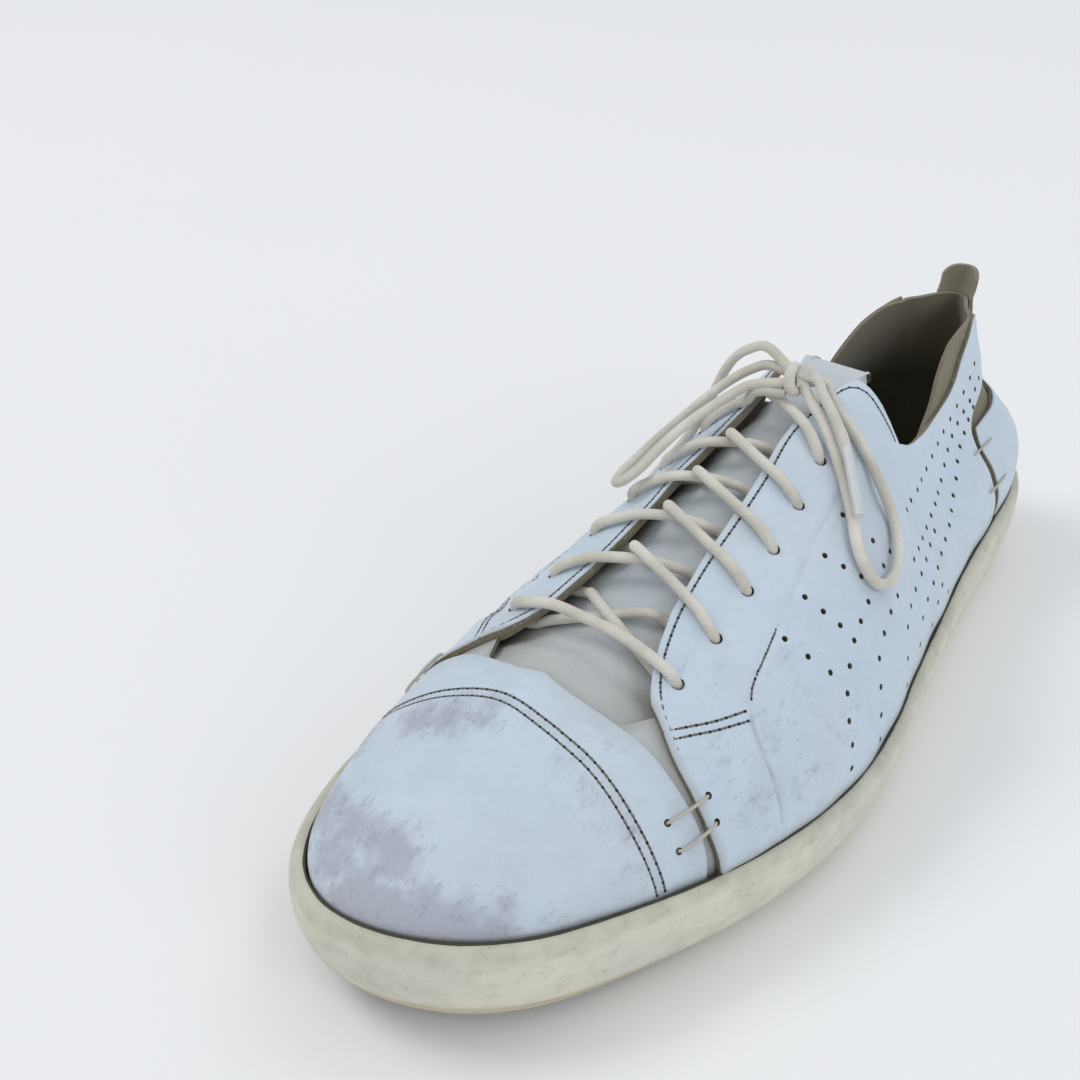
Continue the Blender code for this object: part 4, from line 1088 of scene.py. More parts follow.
def settle(points):
    """The points brought on to the last's face over the toe, with the way out there."""
    heights = np.r_[np.linspace(0.0, 0.9, 70), np.linspace(0.905, 0.998, 30)]
    u, v = np.meshgrid(np.linspace(0.375, 0.625, 260), heights)
    face, normals = on_last(u.reshape(-1), v.reshape(-1), with_normal=True)
    placed, out = [], []
    for point in points:
        away = np.linalg.norm(face - point, axis=1)
        near = np.argsort(away)[:6]
        weight = 1.0 / (away[near] + 0.0004)
        normal = (normals[near] * weight[:, None]).sum(axis=0)
        normal /= np.linalg.norm(normal)
        above = float((((point - face[near]) @ normal) * weight).sum() / weight.sum())
        placed.append(point - normal * above)
        out.append(normal)
    return np.array(placed), np.array(out)


def across_toe(ahead, spacing):
    """Even points on the curved seam across the toe, moved towards the toe tip by ahead metres."""
    u, v = np.array(TOE_SEAM).T
    line, out = settle(smooth_path(on_last(u, v), 0.004))
    forward = np.cross(unit(np.gradient(line, axis=0)), out)
    forward *= np.sign(-forward[:, 1])[:, None]
    spots, out = settle(smooth_path(line + forward * ahead, spacing))
    return spots, unit(np.gradient(spots, axis=0)), out


def quarter_relief(points, mirror):
    """Lift of the quarter's face with its creases and panel seam, and the depth of the fine ones."""
    lines = crease_lines(INNER_CREASES if mirror else OUTER_CREASES, mirror)
    lines.append((on_face(PANEL_SEAM, 0.003, mirror)[0], SEAM_DEPTH, 0.0008))
    fine = trough(points, [line for line in lines if line[2] < FINE_CREASE])
    broad = trough(points, [line for line in lines if line[2] >= FINE_CREASE])
    return swell(points) - fine - broad, fine


def vamp_relief(points):
    """The same for the vamp, with the pulled-in line of the toe's double seam."""
    lines = crease_lines(VAMP_CREASES)
    fine = trough(points, lines[:1] + [(TOE_LINE, SEAM_DEPTH, 0.0014)])
    broad = trough(points, lines[1:])
    return swell(points) - fine - broad - VAMP_DROP, fine


# the pulled-in line runs midway between the two rows of stitches
TOE_LINE = across_toe(0.0012, 0.003)[0]


def make_quarter(name, mirror, materials):
    """Outside leather of one side, from the heel's gap to the front edge, with its holes."""
    sign = -1.0 if mirror else 1.0
    w, v = quarter_grid(LEATHER_FOOT, QUARTER_BACK, FRONT_U, 250, 92)
    place = ring_u(w * sign)
    flat = on_last(place, v).reshape(-1, 3)
    relief, depth = quarter_relief(flat, mirror)
    fall = np.maximum(edge_fall(w.shape[0])[:, None], top_fall(w.shape[1])[None, :])
    front = lookup(FRONT_EDGE, np.clip(v, 0.0, 1.0)) - w
    lift = relief.reshape(w.shape) - EDGE_DROP * fall + ROLLED_EDGE * np.exp(-(front / 0.0045) ** 2)
    outer = on_last(place, v, lift)
    inner = on_last(place, v, -LEATHER)
    # Darker by the rim: soiling, with painted shade next to the joint. Darker along the front edge. Painted
    # shade in the fine creases and the panel seam.
    dirt_and_shade = np.maximum(rim_darkening(v, 0.035) * 0.85, 0.55 * np.exp(-(front / 0.0035) ** 2))
    dirt_and_shade = np.maximum(dirt_and_shade, crease_shade_and_soil(depth, w.shape))
    worn = worn_value(flat).reshape(w.shape)
    if mirror:
        outer, inner, dirt_and_shade, worn = outer[::-1], inner[::-1], dirt_and_shade[::-1], worn[::-1]
    body = two_faced(name, outer, inner, materials, {"dirt_and_shade": dirt_and_shade, "worn": worn}, side_slots=(2, 2, 1, 3))
    wall = materials[2]
    holes = []
    for line, count in PERFORATIONS:
        even = smooth_path(np.array(line) * (AROUND, UPWARDS), 0.0004)
        pick = np.round(np.linspace(0, len(even) - 1, count)).astype(int)
        holes.append(even[pick] / (AROUND, UPWARDS))
    hole_w, hole_v = np.vstack(holes).T
    pierce(body, ring_u(hole_w * sign), hole_v, PERFORATION_RADIUS, 0.0044, wall)
    eyelet_u, eyelet_v = np.array(INNER_EYELETS if mirror else OUTER_EYELETS).T
    pierce(body, eyelet_u, eyelet_v, EYELET_RADIUS, 0.0060, wall)
    bar_w, bar_v = np.array([near for near, _ in THREAD_BARS]).T
    pierce(body, ring_u(bar_w * sign), bar_v, THREAD_HOLE_RADIUS, 0.0040, wall)
    return body


def make_vamp(materials):
    """Toe and vamp in one piece of leather, under the quarters' front edges."""
    shares = np.r_[0.0, 0.0021, 0.0060, 0.0120, np.linspace(0.025, 1.0, 84)]
    rows = np.linspace(LEATHER_FOOT, 1.0, 84)
    v_line, side = both_sides(rows)
    edge = lookup(VAMP_EDGE, np.clip(v_line, 0.0, 1.0))
    w = np.stack([side * (edge + (TOE_U - edge) * share) for share in shares])
    v = np.tile(v_line, (len(shares), 1))
    place = ring_u(w)
    flat = on_last(place, v).reshape(-1, 3)
    relief, depth = vamp_relief(flat)
    fall = np.zeros(w.shape)
    fall[:len(EDGE_SHARES)] = np.array(EDGE_SHARES)[:, None]
    outer = on_last(place, v, relief.reshape(w.shape) - VAMP_EDGE_DROP * fall)
    inner = on_last(place, v, -VAMP_LEATHER)
    close_toe(outer, len(rows))
    close_toe(inner, len(rows))
    rear = np.abs(w) - edge
    # Darker by the rim: soiling, with painted shade next to the joint. Painted shade of the hollow throat
    # along the rear edge, and in the fine creases and the toe seam's line.
    dirt_and_shade = np.maximum(0.9 * rim_darkening(v, 0.030), 0.35 * np.exp(-(rear / 0.010) ** 2))
    dirt_and_shade = np.maximum(dirt_and_shade, crease_shade_and_soil(depth, w.shape))
    numbers = {"dirt_and_shade": dirt_and_shade, "worn": worn_value(flat).reshape(w.shape)}
    body = two_faced("vamp", outer, inner, materials, numbers, side_slots=(2, None, 1, 1))
    bar_w, bar_v = np.array([far for _, far in THREAD_BARS]).T
    for sign in (1.0, -1.0):
        pierce(body, ring_u(bar_w * sign), bar_v, THREAD_HOLE_RADIUS, 0.0036, materials[2], -0.0004)
    return body


def make_lining(materials):
    """Suede lining in one body round the heel and sides, with the eyelets' holes."""
    side_w, side_v = quarter_grid(LINING_FOOT, 0.0, FRONT_U, 90, 34, LINING_INSET)
    tall = side_v[0] - LINING_FOOT
    heel_w, heel_v = [], []
    for share in np.linspace(0.0, 1.0, 14)[:-1]:
        top = float(collar_top(0.05 * share)) - LINING_INSET
        heel_w.append(side_w[0] * share)
        heel_v.append(LINING_FOOT + tall * (top - LINING_FOOT) / tall[-1])
    w = np.vstack([heel_w, side_w])
    v = np.vstack([heel_v, side_v])
    w = np.vstack([-w[:0:-1], w])
    v = np.vstack([v[:0:-1], v])
    outer = on_last(ring_u(w), v, LINING_OUT)
    inner = on_last(ring_u(w), v, -WALL)
    # darker towards the bottom, and a little darker all over
    dirt_and_shade = 0.5 * rim_darkening(v, 0.15) + 0.25
    body = two_faced("lining", outer, inner, materials, {"dirt_and_shade": dirt_and_shade}, side_slots=(1, 1, 1, 1))
    for eyelets in (OUTER_EYELETS, INNER_EYELETS):
        eyelet_u, eyelet_v = np.array(eyelets).T
        pierce(body, eyelet_u, eyelet_v, EYELET_RADIUS, 0.0040, materials[0], -0.0020)
    return body


def make_toe_lining(materials):
    """Lining of the toe, under the vamp."""
    rows = np.linspace(LINING_FOOT, 1.0, 24)
    v_line, side = both_sides(rows)
    height = np.clip(v_line, 0.0, 1.0)
    near = lookup(FRONT_EDGE, height) - 0.0008
    start = near + (lookup(VAMP_EDGE, height) + 0.0020 - near) * blend((height - 0.66) / 0.08)
    w = np.stack([side * (start + (TOE_U - start) * share) for share in np.linspace(0.0, 1.0, 26)])
    v = np.tile(v_line, (len(w), 1))
    outer = on_last(ring_u(w), v, LINING_OUT)
    inner = on_last(ring_u(w), v, -WALL)
    close_toe(outer, len(rows))
    close_toe(inner, len(rows))
    # A light even greying, and painted shade that darkens it along the edge under the quarter and in the gap
    # by the vamp.
    dirt_and_shade = 0.45 + 0.75 * np.exp(-((np.abs(w) - start) / 0.006) ** 2)
    return two_faced("toe_lining", outer, inner, materials, {"dirt_and_shade": dirt_and_shade}, side_slots=(1, None, 1, 1))


def make_counter(materials):
    """Leather over the back of the heel, standing a little proud, with a raw edge."""
    columns = spread(-1.0, 1.0, 64, 0.006)
    rows = spread(-0.035, COUNTER_TOP, 26, 0.0045)
    reach = lookup(BACK_EDGE, np.clip(rows, 0.0, 1.0)) - 0.0030
    corner = blend((rows - 0.18) / 0.082)
    w = columns[:, None] * (reach - 0.0030 * corner ** 3)
    v = np.tile(rows, (len(columns), 1))
    place = ring_u(w)
    flat = on_last(place, v).reshape(-1, 3)
    fall = np.maximum(edge_fall(len(columns))[:, None], top_fall(len(rows))[None, :])
    bulge = COUNTER_BULGE * np.sin(np.clip(v / COUNTER_TOP, 0.0, 1.0) * math.pi)
    outer = on_last(place, v, swell(flat).reshape(w.shape) - EDGE_DROP * fall + COUNTER_PROUD + bulge)
    inner = on_last(place, v, -COUNTER_LEATHER)
    dirt_and_shade = np.maximum(0.8 * rim_darkening(v, 0.035), 0.5 * fall)
    numbers = {"dirt_and_shade": dirt_and_shade, "worn": worn_value(flat).reshape(w.shape)}
    return two_faced("heel_counter_leather", outer, inner, materials, numbers, side_slots=(2, 2, 1, 2))


def make_heel_strip(materials):
    """Suede strip up the heel's middle, and the pull tab that stands above the collar."""
    low = np.linspace(0.245, 0.565, 26)
    half = lookup([(0.24, 0.0270), (0.33, 0.0215), (0.45, 0.0172), (0.60, 0.0160)], low)
    outer, inner = [], []
    for share in spread(-1.0, 1.0, 24, 0.02):
        place = ring_u(share * half)
        edge = 0.0004 * max(0.0, abs(share) - 0.9) / 0.1
        top = TAB_TOP - 0.0030 * share ** 4
        for faces, lift in ((outer, 0.0001 - edge), (inner, -STRIP_THICK)):
            line = list(on_last(place, low, lift))
            end = line[-1]
            for k in range(1, 15):
                t = k / 14.0
                lean = 0.0020 * t + 0.0006 * math.sin(math.pi * t)
                line.append(end + np.array([0.0, lean, (top - end[2]) * t]))
            faces.append(line)
    outer, inner = np.array(outer), np.array(inner)
    dirt_and_shade = np.full(outer.shape[:2], 0.2)
    return two_faced("suede_strip", outer, inner, materials, {"dirt_and_shade": dirt_and_shade}, side_slots=(0, 0, 0, 0))


def make_tongue(materials):
    """Tongue under the eyestays and the vamp, gently waved and thinner at its free end."""
    free_end = [0.1760, 0.1763, 0.1769, 0.1778, 0.1790, 0.1806]
    v_line, side = both_sides(np.linspace(0.60, 1.0, 26))
    outer, inner, dirt_and_shade = [], [], []
    for station in np.r_[free_end, np.linspace(0.1830, 0.345, 60), np.linspace(0.348, 0.402, 18)]:
        lift = TONGUE_LIFT + (TONGUE_TOE_LIFT - TONGUE_LIFT) * float(blend((station - 0.345) / 0.035))
        corner = float(np.clip((0.2000 - station) / 0.0240, 0.0, 1.0))
        narrow = 0.05 * float(blend((0.22 - station) / 0.05)) + 0.23 * (1.0 - math.sqrt(1.0 - corner ** 2))
        narrow -= 0.10 * float(blend((station - 0.330) / 0.030))
        v = v_line + narrow * (1.0 - v_line) / 0.4
        wave = 0.0005 * np.sin(7.0 * v_line * side + station * 160.0) + 0.0004 * math.sin(station * 420.0)
        crown = 0.0012 * (v_line - 0.6) / 0.4 * float(blend((0.345 - station) / 0.03))
        place = ring_u(side * station)
        outer.append(on_last(place, v, lift + wave * 0.6 + crown))
        inner.append(on_last(place, v, lift - TONGUE_THICK))
        # Some soiling all over, and painted shade that darkens the sides under the eyestays and the end
        # under the vamp.
        toe_end = float(blend((station - 0.33) / 0.05))
        dirt_and_shade.append(0.35 + 0.45 * (1.0 - blend((v_line - 0.72) / 0.2)) + 0.3 * toe_end)
    outer, inner = np.array(outer), np.array(inner)
    for k, share in enumerate((0.30, 0.14, 0.05)):
        outer[k] = outer[k] + (inner[k] - outer[k]) * share
    numbers = {"dirt_and_shade": np.array(dirt_and_shade)}
    return two_faced("tongue_leather", outer, inner, materials, numbers, side_slots=(2, 1, 2, 2))


# the sole and the insole


def round_rim(count):
    """w all the way round the rim, with count places to a side."""
    half = np.linspace(0.0, TOE_U, count)
    return np.r_[half, -half[::-1][1:-1]]


def cup_spine(share):
    """Distance from the heel and x of the middle line's point that belongs to a place on the rim."""
    spine = round(min(max(share, SPINE_START), SPINE_END) * LENGTH, 6)
    return spine, float(lookup(RIDGE_X, spine / LENGTH))


def wall_profile(share):
    """Outset and height up the cup's side at a share of the length, with its lowest height and rim."""
    low = float(lookup(UNDERSIDE, share))
    rim = float(lookup(RIM, share))
    toe = float(blend((share - 0.75) / 0.20))
    bulge = 0.0006 + 0.0012 * toe
    tuck = 1.0 - 0.5 * toe
    knots = [
        (-0.0052 * tuck, low + 0.4 * waist_rise(share)),
        (-0.0026 * tuck, low + 0.0014),
        (-0.0006 * tuck, low + 0.0042),
        (0.0004 * tuck + 0.5 * bulge, low + 0.0064),
        (0.0003 * tuck + 0.5 * bulge, low + 0.0071),
        (0.0010 + 0.6 * bulge, low + 0.0079),
        (0.0020 + bulge, low + 0.62 * (rim - low)),
        (0.0024 + 0.8 * bulge, rim - 0.0036),
        (0.0021 + 0.5 * bulge, rim - 0.0010),
        (0.0010 + 0.3 * bulge, rim + 0.0002),
        (0.0, rim - 0.0001),
    ]
    return knots, low, rim


def waist_rise(share):
    """How far the underside is lifted under the arch."""
    return 0.0022 * float(blend((share - 0.24) / 0.10) * (1.0 - blend((share - 0.46) / 0.10)))


def make_sole(materials):
    """Cup sole: rings from the underside's middle up the wall and in over the cup floor."""
    rings = []
    for w in round_rim(170):
        u = float(ring_u(w))
        s, x = (float(k) for k in plan_point(u))
        share = s / LENGTH
        knots, low, rim = wall_profile(share)
        spine, ridge = cup_spine(share)
        column = []
        for reach in (0.0, 0.35, 0.65, 0.88):
            ps = spine + (s - spine) * reach
            z = float(lookup(UNDERSIDE, ps / LENGTH)) + waist_rise(share)
            column.append((ridge + (x - ridge) * reach, HEEL_Y - ps, z, 1.0, 0.0))
        side = smooth_path(np.array(knots), 0.0009)
        for place in np.linspace(0.0, len(side) - 1.0, 30):
            outset, z = (np.interp(place, np.arange(len(side)), side[:, k]) for k in range(2))
            ps, px = (float(k) for k in plan_point(u, outset))
            up = (z - low) / (rim - low)
            yellow = 1.0 - blend((up - 0.06) / 0.42)
            column.append((px, HEEL_Y - ps, z, float(yellow), float(blend((up - 0.70) / 0.30))))
        column.append((x, HEEL_Y - s, rim - 0.003, 0.0, 1.0))
        column.append((x, HEEL_Y - s, float(lookup(FLOOR, share)), 0.0, 1.0))
        for reach in (0.6, 0.0):
            ps = spine + (s - spine) * reach
            z = float(lookup(FLOOR, ps / LENGTH))
            column.append((ridge + (x - ridge) * reach, HEEL_Y - ps, z, 0.0, 1.0))
        rings.append(column)
    total, rows = len(rings), len(rings[0])
    values = np.array(rings).reshape(-1, 5)
    faces, kinds = [], []
    for c in range(total):
        n = (c + 1) % total
        for r in range(rows - 1):
            faces.append([n * rows + r + 1, c * rows + r + 1, c * rows + r, n * rows + r])
            kinds.append(1 if r < 5 else 0)
    numbers = {"low": values[:, 3], "top": values[:, 4]}
    body = build_mesh("cup_sole", values[:, :3], faces, materials, kinds, numbers, SHARP_SOLE)
    point_outwards(body)
    return body


def point_outwards(body):
    """Turns a closed body's faces outwards."""
    work = bmesh.new()
    work.from_mesh(body.data)
    bmesh.ops.recalc_face_normals(work, faces=work.faces[:])
    if work.calc_volume(signed=True) < 0.0:
        bmesh.ops.reverse_faces(work, faces=work.faces[:])
    work.to_mesh(body.data)
    work.free()
    body.data.update()


def make_welt(material):
    """Dark line where the leather goes down into the cup: painted shade of the gap, with soil and glue."""
    sides = 8
    w_line = round_rim(150)
    points = []
    for w in w_line:
        u = float(ring_u(w))
        rim = float(lookup(RIM, float(plan_point(u)[0]) / LENGTH))
        for k in range(sides):
            angle = 2.0 * math.pi * k / sides
            wobble = 0.00005 * math.sin(37.0 * w * 6.28) + 0.00004 * math.sin(91.0 * w * 6.28)
            s, x = (float(c) for c in plan_point(u, (0.00030 + wobble) * math.cos(angle) - 0.00008))
            points.append((x, HEEL_Y - s, rim + 0.00002 + 0.00022 * math.sin(angle)))
    faces = []
    total = len(w_line)
    for c in range(total):
        n = (c + 1) % total
        for k in range(sides):
            m = (k + 1) % sides
            faces.append([c * sides + k, c * sides + m, n * sides + m, n * sides + k])
    body = build_mesh("welt_line", points, faces, [material], sharp=SHARP_WELT)
    point_outwards(body)
    return body


def make_footbed(materials):
    """Insole, hollowed towards its middle, with a darker print of the foot."""
    reaches = np.r_[1.0, 0.985, 0.95, np.linspace(0.88, 0.0, 12)]
    top, low, dirt_and_shade = [], [], []
    for w in round_rim(90):
        s, x = (float(k) for k in plan_point(float(ring_u(w)), -FOOTBED_INSET))
        spine, ridge = cup_spine(float(plan_point(abs(w))[0]) / LENGTH)
        top_line, low_line, dirt_line = [], [], []
        for reach in reaches:
            ps = spine + (s - spine) * reach
            px = ridge + (x - ridge) * reach
            z = float(lookup(FLOOR, ps / LENGTH)) + FOOTBED_RISE
            hollow = FOOTBED_HOLLOW * (1.0 - reach ** 2)
            edge = FOOTBED_EDGE * float(blend((reach - 0.94) / 0.06))
            low_line.append((px, HEEL_Y - ps, z))
            top_line.append((px, HEEL_Y - ps, z + FOOTBED_THICK - hollow - edge))
            dirt_line.append(float(1.0 - blend((reach - 0.45) / 0.4)) * 0.8)
        top.append(top_line)
        low.append(low_line)
        dirt_and_shade.append(dirt_line)
    numbers = {"dirt_and_shade": np.array(dirt_and_shade)}
    return two_faced("footbed", np.array(top), np.array(low), materials, numbers, True, (0, 0, 0, None))


# laces


def tube(name, path, radius, sides, material, squash=1.0, dirt_and_shade=None):
    """Round or slightly flattened tube with a braid map. radius is one number or one for each point."""
    path = np.array(path, dtype=float)
    radii = np.broadcast_to(radius, len(path))
    tangent = unit(np.gradient(path, axis=0))
    side = np.cross(tangent[0], (0.0, 0.0, 1.0))
    if np.linalg.norm(side) < 0.1:
        side = np.cross(tangent[0], (1.0, 0.0, 0.0))
    points = []
    count = len(path)
    for k in range(count):
        side = side - tangent[k] * np.dot(side, tangent[k])
        side /= np.linalg.norm(side)
        other = np.cross(tangent[k], side)
        for j in range(sides):
            angle = 2.0 * math.pi * j / sides
            points.append(path[k] + radii[k] * (math.cos(angle) * side + squash * math.sin(angle) * other))
    faces = []
    for k in range(count - 1):
        for j in range(sides):
            n = (j + 1) % sides
            faces.append([k * sides + j, k * sides + n, (k + 1) * sides + n, (k + 1) * sides + j])
    faces.append(list(reversed(range(sides))))
    faces.append([(count - 1) * sides + j for j in range(sides)])
    mesh = bpy.data.meshes.new(name)
    mesh.from_pydata([tuple(p) for p in points], [], faces)
    mesh.materials.append(material)
    layer = mesh.uv_layers.new(name="braid")
    along = distances(path) / (2.0 * float(radii.max()))
    for polygon in mesh.polygons:
        ring = [mesh.loops[i].vertex_index % sides for i in polygon.loop_indices]
        wraps = max(ring) - min(ring) > 1
        for i, j in zip(polygon.loop_indices, ring):
            vertex = mesh.loops[i].vertex_index
            across = (j + sides if wraps and j == 0 else j) / sides
            layer.data[i].uv = (across, along[vertex // sides])
    values = np.zeros(len(points)) if dirt_and_shade is None else np.repeat(dirt_and_shade, sides)
    paint = mesh.attributes.new("dirt_and_shade", "FLOAT", "POINT")
    paint.data.foreach_set("value", values)
    mesh.shade_smooth()
    mesh.set_sharp_from_angle(angle=SHARP_TUBE)
    return added(name, mesh)


def join(name, objects):
    """One object from several, keeping their meshes' attributes."""
    mesh = bpy.data.meshes.new(name)
    work = bmesh.new()
    for item in objects:
        work.from_mesh(item.data)
    work.to_mesh(mesh)
    work.free()
    for one in objects[0].data.materials:
        mesh.materials.append(one)
    made = added(name, mesh)
    for item in objects:
        bpy.data.objects.remove(item, do_unlink=True)
    mesh.shade_smooth()
    mesh.set_sharp_from_angle(angle=SHARP_TUBE)
    return made


def crossing(near, far, middle_lift, low=False):
    """Lace from inside one eyelet, out over its eyestay, over the tongue and up to the next eyelet inside.

    A low one stays under the eyestay until it is over the tongue.
    """
    w0, v0 = signed_w(near[0]), near[1]
    w1, v1 = signed_w(far[0]), far[1]
    a, b = abs(w0), abs(w1)
    n, f = math.copysign(1.0, w0), math.copysign(1.0, w1)
    edge0, edge1 = float(collar_top(a)), float(collar_top(b))

    def at(sign, share, v, lift):
        return (float(ring_u(sign * (a + (b - a) * share))), v, lift)

    if low:
        start = [
            at(n, 0.0, v0 - 0.010, -0.0010),
            at(n, 0.0, v0 + 0.015, -0.0046),
            at(n, 0.02, 0.5 * (v0 + edge0), -0.0056),
            at(n, 0.10, edge0 + 0.01, -0.0054),
        ]
    else:
        start = [
            at(n, 0.0, v0 - 0.012, -0.0044),
            at(n, 0.0, v0, -0.0018),
            at(n, 0.0, v0 + 0.010, 0.0008),
            at(n, 0.06, v0 + 0.045, LACE_LIFT),
            at(n, 0.16, 0.5 * (v0 + edge0) + 0.02, LACE_LIFT),
            at(n, 0.28, edge0 + 0.025, 0.0020),
        ]
    return start + [
        at(n, 0.50, 1.0, middle_lift),
        at(f, 0.76, edge1 + 0.065, -0.0030),
        at(f, 0.88, edge1 + 0.012, -0.0050),
        at(f, 0.94, 0.5 * (v1 + edge1), -0.0052),
        at(f, 1.0, v1 + 0.020, -0.0050),
        at(f, 1.0, v1, -0.0030),
    ]


def make_lacing(material):
    """The two runs of lace through all the eyelets, with the bar across the lowest pair."""
    (inner_u, inner_v), (outer_u, outer_v) = INNER_EYELETS[0], OUTER_EYELETS[0]
    bar = [
        (inner_u, inner_v - 0.008, -0.0040), (inner_u, inner_v + 0.002, -0.0010),
        (inner_u, inner_v + 0.030, 0.0016), (inner_u, 0.76, LACE_LIFT), (inner_u, 0.86, LACE_LIFT),
        (float(ring_u(-outer_u)), 1.0, 0.0006), (outer_u, 0.90, LACE_LIFT), (outer_u, 0.80, LACE_LIFT),
        (outer_u, outer_v + 0.035, 0.0016), (outer_u, outer_v + 0.004, -0.0010),
        (outer_u, outer_v - 0.008, -0.0040),
    ]
    lines = [
        bar,
        crossing(OUTER_EYELETS[0], INNER_EYELETS[1], -0.0036, True),
        crossing(INNER_EYELETS[0], OUTER_EYELETS[1], -0.0058, True),
    ]
    for k in range(1, 5):
        lines.append(crossing(OUTER_EYELETS[k], INNER_EYELETS[k + 1], 0.0040 - 0.0002 * k))
        lines.append(crossing(INNER_EYELETS[k], OUTER_EYELETS[k + 1], 0.0008 - 0.0002 * k))
    lines.append([
        (0.2361, 0.738, -0.0044), (0.2361, 0.750, -0.0018), (0.2355, 0.765, 0.0010),
        (0.2320, 0.805, LACE_LIFT), (0.2280, 0.860, LACE_LIFT), (0.2250, 0.930, LACE_LIFT),
        (0.2235, 0.985, 0.0024), (float(ring_u(-0.2215)), 0.970, 0.0045),
    ])
    lines.append([
        (0.7635, 0.708, -0.0044), (0.7635, 0.720, -0.0018), (0.7645, 0.740, 0.0010),
        (0.7690, 0.790, LACE_LIFT), (0.7730, 0.860, LACE_LIFT), (0.7740, 0.930, 0.0022),
        (0.7755, 0.990, 0.0052), (0.2230, 0.970, 0.0052),
    ])
    pieces = []
    for k, line in enumerate(lines):
        path = route(line, LACE_STEP)
        place = np.arange(len(path))
        ends = np.minimum(place, place[::-1])
        # Random soiling along each run, and painted shade that darkens the lace where it goes into the
        # eyelets and under the bow.
        dirt_and_shade = 0.25 * (np.sin(place * 0.35 + k * 2.1) * 0.5 + 0.5) + 0.75 * np.exp(-ends / 4.0)
        pieces.append(tube("run", path, LACE_RADIUS, LACE_SIDES, material, 0.90, dirt_and_shade))
    return join("lacing", pieces)


def knot_points():
    """Wrap of one and two thirds turns about the knot's centre."""
    cx, cy, cz = KNOT_CENTRE
    points = []
    for k in range(19):
        t = k / 18.0
        angle = math.radians(-150.0 + 600.0 * t)
        x = cx - KNOT_LONG / 2.0 + KNOT_LONG * t
        points.append((x, cy + KNOT_RADIUS * math.cos(angle), cz + KNOT_RADIUS * math.sin(angle)))
    return points


def from_knot(rows, first, last=None):
    """Route of a loop or end that starts inside the knot, and goes back into it where last is given."""
    rows = np.array(rows, dtype=float)
    points = [np.array(KNOT_CENTRE) + first] + list(on_last(rows[:, 0], rows[:, 1], rows[:, 2]))
    if last is not None:
        points.append(np.array(KNOT_CENTRE) + last)
    return smooth_path(points, LACE_STEP)


def make_bow(material, plastic):
    """Knot, two loops and two ends with their tips, each a free cord."""
    tips, tip_paths = {}, {}
    aglets = [("outer_tip", RIGHT_AGLET, "aglet_right"), ("inner_tip", LEFT_AGLET, "aglet_left")]
    for name, rows, node in aglets:
        u, v, lift = np.array(rows).T
        ends = on_last(u, v, lift)
        way = (ends[1] - ends[0]) / np.linalg.norm(ends[1] - ends[0])
        path = np.array([ends[0] + way * AGLET_LONG * k / 12.0 for k in range(13)])
        tips[name] = tube(name, path, AGLET_RADIUS, 16, plastic)
        tip_paths[name] = path
        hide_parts(node)
    cords = [
        ("knot_wrap", smooth_path(knot_points(), 0.0008), "lace_knot", "object"),
        ("outer_loop", from_knot(RIGHT_LOOP, *RIGHT_LOOP_ENDS), "lace_loop_right", "object"),
        ("inner_loop", from_knot(LEFT_LOOP, *LEFT_LOOP_ENDS), "lace_loop_left", "object"),
        ("outer_end", from_knot(RIGHT_END, RIGHT_END_START), "lace_end_right", "fitting"),
        ("inner_end", from_knot(LEFT_END, LEFT_END_START), "lace_end_left", "fitting"),
    ]
    pieces = {}
    for name, path, node, far in cords:
        radii = np.full(len(path), LACE_RADIUS)
        if far == "fitting":
            tip = name.replace("_end", "_tip")
            inside = tip_paths[tip][1:-1]
            path = np.vstack([path, inside])
            radii = np.r_[radii, np.full(len(inside), HELD_RADIUS)]
        dirt_and_shade = 0.2 + 0.2 * np.sin(np.arange(len(path)) * 0.21)
        pieces[name] = tube(name, path, radii, LACE_SIDES, material, 0.92, dirt_and_shade)
        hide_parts(node)
    return pieces, tips


# setting


def make_camera():
    """The photograph's camera, from its place, turn, tilt and roll."""
    yaw, tilt, roll = CAMERA_TURN, CAMERA_TILT, CAMERA_ROLL
    back = Vector((math.sin(yaw) * math.cos(tilt), -math.cos(yaw) * math.cos(tilt), math.sin(tilt)))
    right = Vector((0.0, 0.0, 1.0)).cross(back).normalized()
    top = back.cross(right)
    turned_right = right * math.cos(roll) + top * math.sin(roll)
    turned_top = top * math.cos(roll) - right * math.sin(roll)
    data = bpy.data.cameras.new("camera")
    data.sensor_width = 36.0
    data.lens = CAMERA_LENS
    data.shift_x, data.shift_y = CAMERA_SHIFT
    data.clip_start = 0.01
    camera = added("camera", data)
    camera.matrix_world = Matrix((
        (turned_right.x, turned_top.x, back.x, CAMERA_AT[0]),
        (turned_right.y, turned_top.y, back.y, CAMERA_AT[1]),
        (turned_right.z, turned_top.z, back.z, CAMERA_AT[2]),
        (0.0, 0.0, 0.0, 1.0),
    ))
    bpy.context.scene.camera = camera


def area_light(name, at, aim, size, power, colour):
    """Round soft light at one place that shines on another."""
    data = bpy.data.lights.new(name, "AREA")
    data.shape = "DISK"
    data.size = size
    data.energy = power
    data.color = colour
    light = added(name, data)
    light.location = at
    light.rotation_euler = (Vector(aim) - Vector(at)).to_track_quat("-Z", "Y").to_euler()


